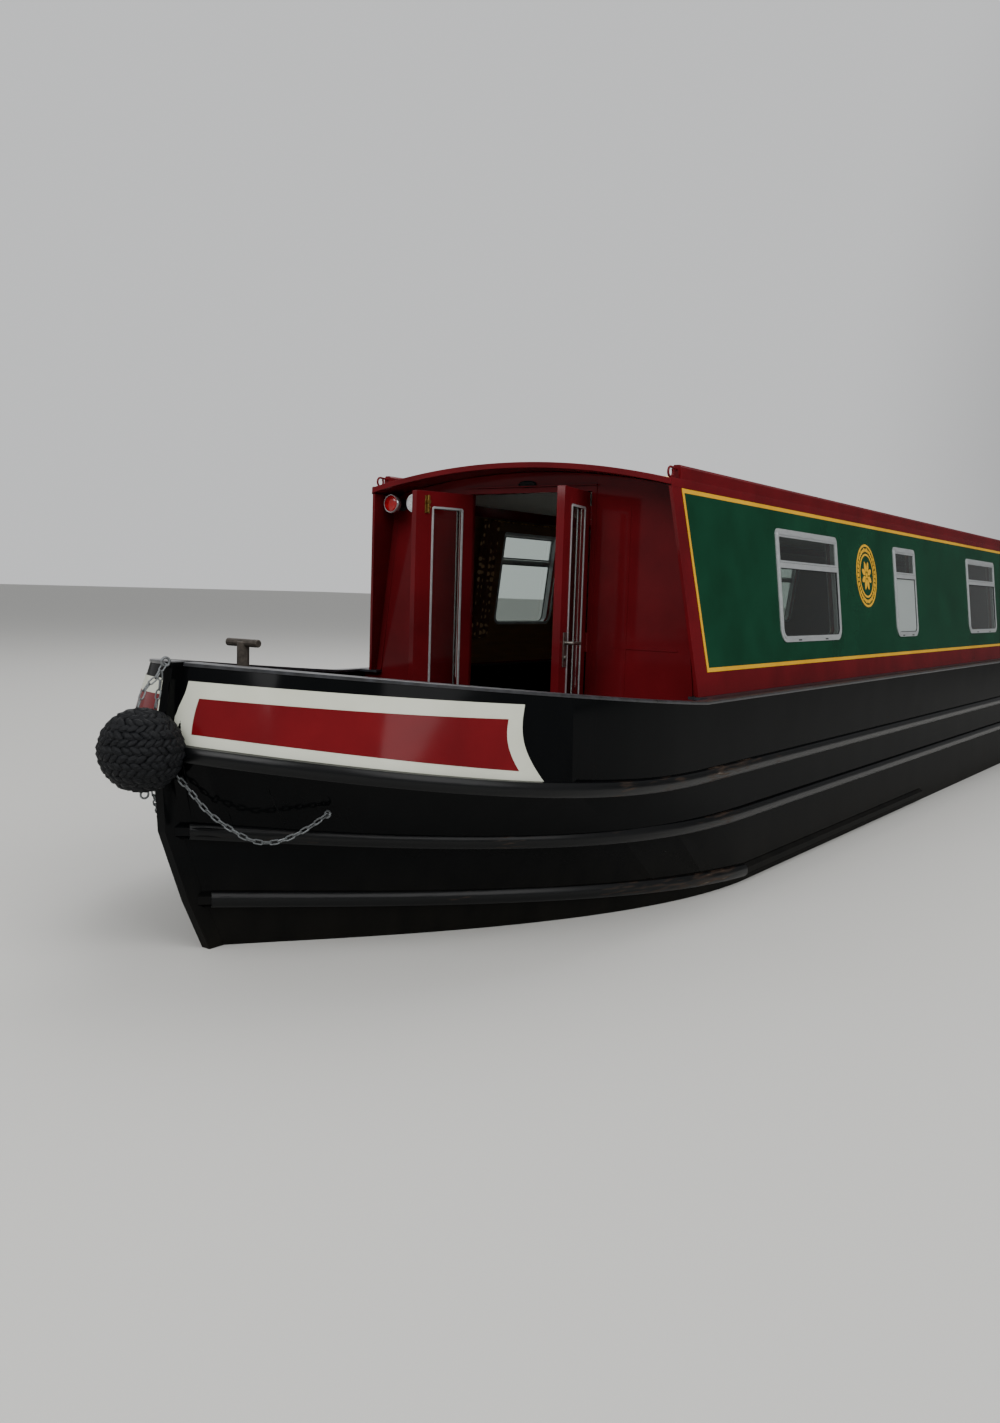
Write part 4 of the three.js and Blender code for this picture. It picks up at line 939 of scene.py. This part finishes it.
BOLT_Y = 0.276
bolt_face = LEAF_FAR - 0.009
stbd_bolt = [block(LEAF_FAR - 0.003, LEAF_FAR, 0.262, 0.290, 2.066, 2.146),
             pin((bolt_face, BOLT_Y, 2.070), (bolt_face, BOLT_Y, 2.148), 0.0055),
             pin((bolt_face, BOLT_Y, 2.092), (LEAF_FAR - 0.026, BOLT_Y, 2.092), 0.004),
             block(LEAF_FAR - 0.016, LEAF_FAR - 0.002, 0.266, 0.286, 2.110, 2.124)]
piece("head_bolt", {cast_bronze: stbd_bolt}, "vent_brass", body="front_door_stbd", bevel=0.0008,
      place=hinged("stbd", -1))
LOCK_Y = -0.278
lock = [block(LEAF_NEAR, LEAF_NEAR + 0.004, -0.300, -0.256, 1.395, 1.545),
        pin((LEAF_NEAR + 0.003, LOCK_Y, 1.500), (LEAF_NEAR + 0.040, LOCK_Y, 1.500), 0.008),
        pin((LEAF_NEAR + 0.036, -0.283, 1.500), (LEAF_NEAR + 0.036, -0.175, 1.496), 0.0075),
        pin((LEAF_NEAR + 0.003, LOCK_Y, 1.435), (LEAF_NEAR + 0.010, LOCK_Y, 1.435), 0.011)]
piece("door_lock", {worn_steel: lock}, "worn_steel", body="front_door_port", bevel=0.0012, place=hinged("port", 1))


# Head lamps
# Two round lamps side by side under the roof lip on the starboard side: pressed bodies with chromed bezels, one
# with a red lens and one with a clear one, each moulded with rings of small prisms.
chrome = mottled("bright_chrome", ("#D9DCDE", "#F0F2F3"), (20, 3), 0.2, boxed=True, Metallic=0.85)


def moulded_lens(name, colour, prism_shade_colour):
    """Moulded acrylic: a clear gloss over rings of prisms that catch the light, in its own colour at each prism's
    centre with painted shade further out.
    """
    material, tree, surface = new_material(name, IOR=1.49, Roughness=0.15, Coat_Weight=0.2, Coat_Roughness=0.04)
    at = add_node(tree, "TexCoord", out="Object")
    prisms = add_node(tree, "TexVoronoi", [("Vector", at), ("Scale", per_metre(7))])
    # The prism pattern paints shade into the lens colour, darker away from each prism's centre
    tree.links.new(blend_colours(tree, prisms, linear(colour), linear(prism_shade_colour)), surface.inputs["Base Color"])
    emboss(material, prisms, 0.5, 0.001)
    return material


# Each lens's second colour is the painted shade in its prisms
red_lens = moulded_lens("red_acrylic_lens", "#C4161B", "#6E080C")
clear_lens = moulded_lens("clear_acrylic_lens", "#E9ECEC", "#A9B0B2")
UPWARD, FORWARD, BACKWARD = Vector((0, 0, 1)), Vector((1, 0, 0)), Vector((-1, 0, 0))
AXIS_GAP = 0.0002


def spun(profile, at, along=UPWARD, sides=40):
    """A turned shape from pairs of radius and height along an axis."""
    aside = around(along)
    return loft([[tuple(Vector(at) + along * height + aside(a) * max(radius, AXIS_GAP)) for a in turns(sides)]
                 for radius, height in profile])


def half_round(radius, tip, count):
    """The profile of a ball or dome: pairs of radius and height between two angles."""
    return [(radius * math.cos(a), radius * math.sin(a)) for a in np.linspace(-tip, tip, count)]


for name, lens_material in (("lamp_red", red_lens), ("lamp_clear", clear_lens)):
    low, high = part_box(name)
    foot = (low.x, (low.y + high.y) / 2, (low.z + high.z) / 2)
    rim = (high.z - low.z) / 2
    depth = high.x - low.x
    dome_r = rim - 0.0075
    dome = [(dome_r, depth - 0.014)]
    dome += [(dome_r * math.cos(a), depth - 0.012 + 0.012 * math.sin(a)) for a in np.linspace(0.05, math.pi / 2, 10)]
    bracket, bowl, bezel, lens_shape = (spun(profile, foot, FORWARD) for profile in (
        [(0.029, 0), (0.030, 0.002), (0.030, 0.006), (0.014, 0.009), (0.0135, 0.050)],
        [(0.010, 0.044), (0.024, 0.048), (0.036, 0.058), (0.043, 0.074), (0.0445, depth - 0.024)],
        [(0.0440, depth - 0.028), (rim - 0.001, depth - 0.025), (rim, depth - 0.019), (rim - 0.0005, depth - 0.013),
         (rim - 0.004, depth - 0.009), (rim - 0.0085, depth - 0.010), (rim - 0.0090, depth - 0.013)],
        dome))
    piece(f"{name}_body", {gasket: [bracket], chrome: [bowl, bezel]}, "lamp_chrome", stands_for=[name])
    piece(f"{name}_lens", {lens_material: [lens_shape]}, "lamp_lens")


# Bow fender
# A ball of tarred rope worked in rows of hitches round a core, with a ring seized to its foot. Each hitch is a
# short fat lobe of rope laid aslant, and its rows lean to and fro.
tarred_rope = mottled("tarred_rope", ("#050506", "#131519"), (5, 5), 0.62, Specular_IOR_Level=0.2)
tree = tarred_rope.node_tree
at = add_node(tree, "TexCoord", out="Object")
yarn = add_node(tree, "TexWave", [("Vector", at), ("Scale", per_metre(20)), ("Distortion", 5.0), ("Detail", 2.0)],
                out="Fac", bands_direction="DIAGONAL")
emboss(tarred_rope, yarn, 0.6, 0.0015)

HITCH = 0.0275
HITCH_ENDS = 0.62
ROPE_R = 0.0138
SEED = 5


def hitched(at, along, rows):
    """Rows of rope hitches round an axis. Each row is its radius and its height along the axis."""
    at = Vector(at)
    aside = around(along)
    lobes = []
    uneven = np.random.default_rng(SEED)
    for r, (radius, height) in enumerate(rows):
        before, after = rows[max(r - 1, 0)], rows[min(r + 1, len(rows) - 1)]
        rise, spread = after[1] - before[1], after[0] - before[0]
        span = math.hypot(rise, spread) / (2 if 0 < r < len(rows) - 1 else 1)
        slope = Vector((spread, rise)).normalized()
        count = max(4, round(2 * math.pi * radius / HITCH))
        step = 2 * math.pi / count
        lean = 1 if r % 2 else -1
        for k in range(count):
            slack, drift, fat = uneven.uniform((0.7, -0.12, 0.85), (1.3, 0.12, 1.12))
            path = []
            for t in (-HITCH_ENDS, -0.35, 0, 0.35, HITCH_ENDS):
                turn = (k + 0.5 * (r % 2) + t * 1.15 + drift) * step
                up = t * lean * span * slack
                out = radius + slope.x * up + ROPE_R * 0.45 * (1 - (t / HITCH_ENDS) ** 2) - ROPE_R * 0.3
                path.append(at + along * (height + slope.y * up) + aside(turn) * out)
            lobes.append(tube(path, lambda t: ROPE_R * fat * (0.55 + 0.45 * math.sin(math.pi * t)), 7))
    return lobes


FENDER_AT = (7.4775, 0, 1.170)
FENDER_R = 0.1425
core_r = FENDER_R - ROPE_R * 1.27
ball = hitched(FENDER_AT, UPWARD, half_round(core_r, 1.42, 16))
ball.append(spun(half_round(core_r - 0.004, 1.56, 20), FENDER_AT))
piece("bow_fender_rope", {tarred_rope: ball}, "tarred_rope", stands_for=["bow_fender"], crease=60)


# Fender chains
# Welded short-link chain, galvanised and gone dull. Two hang in a curve from behind the ball to the plating, and
# one doubles from an eye on the stem head down to the ball. Each link is quarter-turned from the last.
galvanised = mottled("dull_galvanised_steel", ("#4A4C4D", "#8C9092"), (8, 5), 0.5, Metallic=0.85)


def ring(at, radius, wire, normal, sides=10):
    """A round ring of bar about a point."""
    aside = around(Vector(normal).normalized())
    return tube([Vector(at) + aside(a) * radius for a in turns(28)], wire, sides, looped=True)


LINK_PITCH = 0.0265
LINK_WIRE = 0.0028
LINK_ROUND = 0.0070
LINK_STRAIGHT = 0.0088


def chain(points):
    """Links along a smooth path, evenly spaced, each turned a quarter from the one before."""
    path = np.array(smooth_path(points, 16))
    far = np.concatenate([[0], np.cumsum(np.linalg.norm(np.diff(path, axis=0), axis=1))])
    count = int(far[-1] / LINK_PITCH)
    links = []
    for k in range(count):
        middle = (k + 0.5) * far[-1] / count
        at, a, b = (Vector([np.interp(s, far, path[:, i]) for i in range(3)])
                    for s in (middle, middle - 0.01, middle + 0.01))
        along = (b - a).normalized()
        level = along.cross(UPWARD).normalized()
        raised = level.cross(along)
        lean = 0.6 + (math.pi / 2 if k % 2 else 0)
        wide = level * math.cos(lean) + raised * math.sin(lean)
        outline = []
        for half, sign in ((0, 1), (1, -1)):
            for i in range(9):
                t = -math.pi / 2 + math.pi * i / 8
                outline.append(at + along * sign * (LINK_STRAIGHT + LINK_ROUND * math.cos(t))
                               + wide * sign * LINK_ROUND * math.sin(t))
        links.append(tube(outline, LINK_WIRE, 8, looped=True))
    return links


SIDE_CHAIN = [(7.384, 0.046, 1.090), (7.361, 0.088, 1.040), (7.319, 0.132, 0.966), (7.268, 0.178, 0.910),
              (7.219, 0.229, 0.869), (7.180, 0.274, 0.860), (7.144, 0.317, 0.872), (7.098, 0.372, 0.910),
              (7.060, 0.426, 0.960)]
for side_name, side in SIDES:
    route = mirrored(SIDE_CHAIN, side)
    links = chain(route) + [ring(route[-1], 0.011, 0.0040, (1, 0, 0.3))]
    piece(f"fender_chain_{side_name}_links", {galvanised: links}, "chain_steel",
          stands_for=[f"fender_chain_{side_name}"])
FRONT_STRAND = [(7.384, 0, 1.446), (7.404, 0, 1.422), (7.424, 0, 1.399), (7.446, 0, 1.383), (7.470, 0, 1.357),
                (7.494, 0, 1.308)]
REAR_STRAND = [(7.404, 0, 1.424), (7.404, 0, 1.378), (7.412, 0, 1.346), (7.424, 0, 1.300)]
piece("fender_chain_top_links", {galvanised: chain(FRONT_STRAND) + chain(REAR_STRAND)}, "chain_steel",
      stands_for=["fender_chain_top"])
stem_eye = ring((7.382, 0, 1.452), 0.014, 0.0045, (0.2, 1, 0))
foot_ring = ring((FENDER_AT[0] - 0.012, 0, FENDER_AT[2] - FENDER_R - 0.004), 0.013, 0.0035, (0.3, 1, 0))
piece("fender_rings", {galvanised: [stem_eye, foot_ring]}, "chain_steel")


# Mooring post and locker lid
# The T-shaped mooring post is bare steel, browned by weather and polished by use. The gas locker's lid has two
# strap hinges and a sunk lifting ring.
mooring_steel = mottled("browned_mooring_steel", ("#211D1A", "#6A625A"), (15, 7), 0.48, Metallic=0.7)
repaint("t_stud", mooring_steel, 0.004)

DECK_SLOPE = 0.087
LOCKER_X, LOCKER_Z = 6.480, 1.352
LID_REAR_X = 6.570
STRAP_Y = 0.16
lid_place = (Matrix.Translation((LID_REAR_X, 0, LOCKER_Z + (LID_REAR_X - LOCKER_X) * DECK_SLOPE))
             @ Matrix.Rotation(-math.atan(DECK_SLOPE), 4, "Y"))
straps = []
for y in (-STRAP_Y, STRAP_Y):
    straps += [block(-0.030, 0.095, y - 0.016, y + 0.016, 0.0004, 0.004),
               pin((0.010, y - 0.018, 0.006), (0.010, y + 0.018, 0.006), 0.006)]
lid_ring = ring((0.255, 0, 0.0045), 0.026, 0.004, UPWARD)
piece("locker_lid_fittings", {mooring_steel: straps, galvanised: [lid_ring]}, "worn_steel", body="locker_lid",
      bevel=0.001, place=lid_place)


# Roof fittings
# The handrails end ahead in a thin bar turned into an eye. Three brass mushroom vents stand on the centre line,
# each with a spun cap over a short neck. Under the sheet is a ceiling of pale board.
EYE_Y, EYE_R = 0.798, 0.021
eye_bar = [(5.362, EYE_Y, 2.247), (5.380, EYE_Y, 2.250), (5.396, EYE_Y, 2.252)]
eye_bar += [(5.424 - EYE_R * math.sin(a), EYE_Y, 2.233 + EYE_R * math.cos(a)) for a in np.linspace(-0.1, -5.4, 22)]
for side_name, side in SIDES:
    foot_plate = spun([(0.010, 0.0), (0.010, 0.004), (0.005, 0.006)], (5.392, side * EYE_Y, 2.2085))
    piece(f"handrail_eye_{side_name}", {crimson_enamel: [tube(mirrored(eye_bar, side), 0.0052, 10), foot_plate]},
          "cabin_red")

NECK = [(0.074, 0.0), (0.075, 0.003), (0.073, 0.007), (0.045, 0.010), (0.038, 0.014), (0.037, 0.052)]
CAP = [(0.080, 0.050), (0.0842, 0.052), (0.085, 0.056), (0.082, 0.064), (0.074, 0.073), (0.058, 0.0815),
       (0.034, 0.087), (0.014, 0.0892), (0.001, 0.0899)]
SCREW = [(0.0045, 0.006), (0.0045, 0.0085), (0.002, 0.0095)]
SCREW_CIRCLE_R = 0.061
for number in (1, 2, 3):
    low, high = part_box(f"roof_vent_{number}")
    x = (low.x + high.x) / 2
    vent = [spun(NECK, (x, 0, low.z)), spun(CAP, (x, 0, low.z))]
    vent += [spun(SCREW, (x + SCREW_CIRCLE_R * math.cos(a), SCREW_CIRCLE_R * math.sin(a), low.z), sides=10)
             for a in (0.5, 2.6, 4.7)]
    piece(f"mushroom_vent_{number}", {polished_brass: vent}, "vent_brass", stands_for=[f"roof_vent_{number}"])

# Grooved ceiling board, painted and gone a little uneven
ceiling_board = mottled("painted_ceiling_board", ("#B9B8B2", "#D2D1CB"), (350, 4), 0.55)
tree = ceiling_board.node_tree
at = add_node(tree, "TexCoord", out="Object")
grooves = add_node(tree, "TexWave", [("Vector", at), ("Scale", per_metre(100) / 20)], out="Fac", bands_direction="Y")
emboss(ceiling_board, grooves, 0.3, 0.002)
ceiling = arched(HATCH_OPENING_FRONT + 0.04, 5.236, -0.770, 0.770, -0.040, -0.032, 24)
piece("ceiling_lining", {ceiling_board: [ceiling]}, "cabin_lining")


# Curtains
# One narrow curtain of patterned cotton on each side, drawn back to the front end of the first window and
# hanging in five even pleats from a thin rod.
curtain_cotton, tree, surface = new_material("patterned_brown_cotton", Roughness=0.9)
at = add_node(tree, "TexCoord", out="Object")
motif = add_node(tree, "TexVoronoi", [("Vector", at), ("Scale", per_metre(42)), ("Randomness", 0.35)])
figured = add_node(tree, "MapRange", [("Value", motif), ("From Min", 0.28), ("From Max", 0.36)])
print_colours = blend_colours(tree, figured, linear("#BFA079"), linear("#5A3A28"))
tree.links.new(print_colours, surface.inputs["Base Color"])
weave = add_node(tree, "TexNoise", [("Vector", at), ("Scale", per_metre(1.2)), ("Detail", 2.0)])
emboss(curtain_cotton, weave, 0.25, 0.0006)

CURTAIN_X = (4.431, 4.594)
CURTAIN_Z = (1.445, 2.108)
CURTAIN_IN = -0.0712
CLOTH_ROWS = 26
PLEATS = 5
PLEAT_DEPTH = 0.0135
PLEAT_STEPS = 80
ROD_FRONT, ROD_Z, ROD_R = 4.625, CURTAIN_Z[1] - 0.004, 0.004
for side_name, side in SIDES:
    rod_rear = WINDOWS[side_name][0][1] - 0.04
    rod_parts = [pin(*(on_side(side, x, ROD_Z, CURTAIN_IN) for x in (rod_rear, ROD_FRONT)), ROD_R)]
    for x in (rod_rear + 0.01, ROD_FRONT - 0.01):
        rod_parts.append(pin(*(on_side(side, x, ROD_Z, out) for out in (CURTAIN_IN, LINING_IN - 0.004)), 0.003))
    rod = piece(f"curtain_rod_{side_name}", {polished_brass: rod_parts}, "vent_brass")
    rows = []
    for down in np.linspace(0, 1, CLOTH_ROWS):
        z = CURTAIN_Z[1] - down * (CURTAIN_Z[1] - CURTAIN_Z[0])
        rows.append([])
        for t in np.linspace(0, 1, PLEAT_STEPS + 1):
            fold = math.sin(2 * math.pi * PLEATS * t + 0.5 * math.sin(5 * down))
            x = CURTAIN_X[0] + (CURTAIN_X[1] - CURTAIN_X[0]) * t
            rows[-1].append(on_side(side, x, z, CURTAIN_IN + PLEAT_DEPTH * fold * (0.9 + 0.1 * down)))
    corners = [r * (PLEAT_STEPS + 1) + i for r in range(CLOTH_ROWS - 1) for i in range(PLEAT_STEPS)]
    cloth_faces = [(a, a + 1, a + PLEAT_STEPS + 2, a + PLEAT_STEPS + 1) for a in corners]
    cloth = piece(f"pleated_curtain_{side_name}", {curtain_cotton: [(sum(rows, []), cloth_faces)]}, "curtain_cloth",
                  stands_for=[f"curtain_{side_name}"], crease=80)
    thick = cloth.modifiers.new("cloth_thickness", "SOLIDIFY")
    thick.thickness = 0.0009


# Stern
# Out of the picture's sight, so this is a plain stern of the usual kind: a taff rail of round bar on posts, a
# swan-neck tiller with a brass bar and a turned ash handle, two bollards, and a hitched rope button.
STERN_DECK_Z = 1.270
RAIL_Z = 1.890
RAIL_END = (-5.950, 0.951)
POST_FOOT = [(0.030, 0.0004), (0.031, 0.003), (0.029, 0.006), (0.016, 0.008)]
rail_curve = moved_out(level_curve("top"), -0.090)
rail_curve = rail_curve[(rail_curve[:, 0] < -6.13) & (rail_curve[:, 1] > 0.02)]
port_rail = [(*RAIL_END, RAIL_Z)] + [(x, y, RAIL_Z) for x, y in rail_curve[::-1, :2]]
rail_path = port_rail + [(-7.310, 0, RAIL_Z)] + mirrored(port_rail[::-1], -1)
rail_parts = [tube(smooth_path(rail_path[::2], 3), 0.0165, 14)]
posts = [(-5.955, RAIL_END[1]), (-7.300, 0.0)]
posts += [(x, float(np.interp(x, rail_curve[:, 0], rail_curve[:, 1]))) for x in (-6.60, -7.06)]
for x, port_y in posts:
    for y in sorted({port_y, -port_y}):
        rail_parts.append(pin((x, y, STERN_DECK_Z + 0.0005), (x, y, RAIL_Z), 0.0148, 16))
        rail_parts.append(spun(POST_FOOT, (x, y, STERN_DECK_Z), sides=24))
piece("taff_rail", {crimson_enamel: rail_parts}, "cabin_red", stands_for=["stern_rail"])

# Turned ash under varnish, its grain drawn out along the handle
turned_ash = mottled("varnished_ash", ("#9A6B3C", "#C99A62"), (6, 6), 0.4, stretch=(0.08, 1, 1), Coat_Weight=0.4,
                     Coat_Roughness=0.15)

STOCK_X = -7.080
SWAN_NECK = [(0, 0, 1.4235), (-0.006, 0, 1.560), (-0.002, 0, 1.720), (0.040, 0, 1.880), (0.150, 0, 1.985),
             (0.320, 0, 2.030)]
COLLAR = [(0.030, 0.0), (0.032, 0.002), (0.032, 0.036), (0.028, 0.039), (0.018, 0.040)]
HANDLE = [(0.0130, 0.0), (0.0150, 0.004), (0.0135, 0.012), (0.0150, 0.05), (0.0168, 0.10), (0.0165, 0.135),
          (0.0120, 0.158), (0.0040, 0.167)]
bar_start, bar_end, handle_end = (Vector(p) for p in (SWAN_NECK[-1], (0.590, 0, 2.0689), (0.758, 0, 2.0898)))
neck_tube = tube(smooth_path(SWAN_NECK, 10), 0.017, 20)
collar = spun(COLLAR, (0, 0, 1.4204))
brass_bar = pin(bar_start - (bar_end - bar_start).normalized() * 0.02, bar_end, 0.0125, 24)
handle = spun(HANDLE, bar_end, (handle_end - bar_end).normalized(), 28)
piece("swan_neck_tiller", {crimson_enamel: [neck_tube, collar], polished_brass: [brass_bar], turned_ash: [handle]},
      "vent_brass", body="steering", stands_for=["tiller"], place=Matrix.Translation((STOCK_X, 0, 0)))

BOLLARD = [(0.058, 0.0), (0.060, 0.002), (0.060, 0.007), (0.036, 0.011), (0.031, 0.020), (0.030, 0.088),
           (0.040, 0.094), (0.046, 0.097), (0.0462, 0.106), (0.042, 0.1095), (0.001, 0.110)]
for side_name, side in SIDES:
    low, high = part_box(f"dolly_{side_name}")
    bollard = spun(BOLLARD, ((low.x + high.x) / 2, (low.y + high.y) / 2, low.z))
    piece(f"mooring_dolly_{side_name}", {mooring_steel: [bollard]}, "worn_steel", stands_for=[f"dolly_{side_name}"])

BUTTON_ROWS = [(0.104, 0.0), (0.113, 0.022), (0.1145, 0.044), (0.1145, 0.066), (0.1135, 0.088), (0.110, 0.110),
               (0.103, 0.132), (0.091, 0.153), (0.073, 0.172), (0.050, 0.188), (0.026, 0.199)]
button_core = [(0.098, -0.005)] + [(r - 0.005, h) for r, h in BUTTON_ROWS] + [(0.001, 0.205)]
button_at = (STERN["top"][1], 0, 1.120)
button = hitched(button_at, BACKWARD, BUTTON_ROWS) + [spun(button_core, button_at, BACKWARD)]
piece("stern_fender_rope", {tarred_rope: button}, "tarred_rope", stands_for=["stern_fender"], crease=60)


# Hatch and rear door fittings
# Small brass and steel fittings on the pieces that open at the stern: a slide handle, a lifting ring, hinges
# and a knob.
front_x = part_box("slide_hatch")[1].x
grip_path = [(front_x - 0.045, -0.09, 2.325), (front_x - 0.035, -0.07, 2.342), (front_x - 0.035, 0.07, 2.342),
             (front_x - 0.045, 0.09, 2.325)]
piece("slide_hatch_grip", {polished_brass: [tube(smooth_path(grip_path, 8), 0.006, 12)]}, "vent_brass",
      body="slide_hatch")
low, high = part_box("deck_hatch")
lift = ring(((low.x + high.x) / 2 + 0.16, 0, high.z + 0.0045), 0.026, 0.004, UPWARD)
piece("deck_hatch_ring", {galvanised: [lift]}, "chain_steel", body="deck_hatch")
KNOB = [(0.018, 0.0), (0.018, 0.004), (0.007, 0.006), (0.007, 0.026), (0.017, 0.030), (0.019, 0.038),
        (0.013, 0.045), (0.002, 0.047)]
REAR_HINGE_Z = (1.40, 1.77, 2.12)
for side_name, side in SIDES:
    low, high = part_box(f"rear_door_{side_name}")
    outer_y = max(abs(low.y), abs(high.y))
    parts = [block(low.x - 0.003, low.x + 0.0002, outer_y - 0.075, outer_y, z, z + 0.036, side)
             for z in REAR_HINGE_Z]
    if side_name == "port":
        parts.append(spun(KNOB, (low.x, low.y + 0.045, 1.72), BACKWARD, 24))
    piece(f"rear_door_fittings_{side_name}", {polished_brass: parts}, "vent_brass", body=f"rear_door_{side_name}",
          bevel=0.0008)
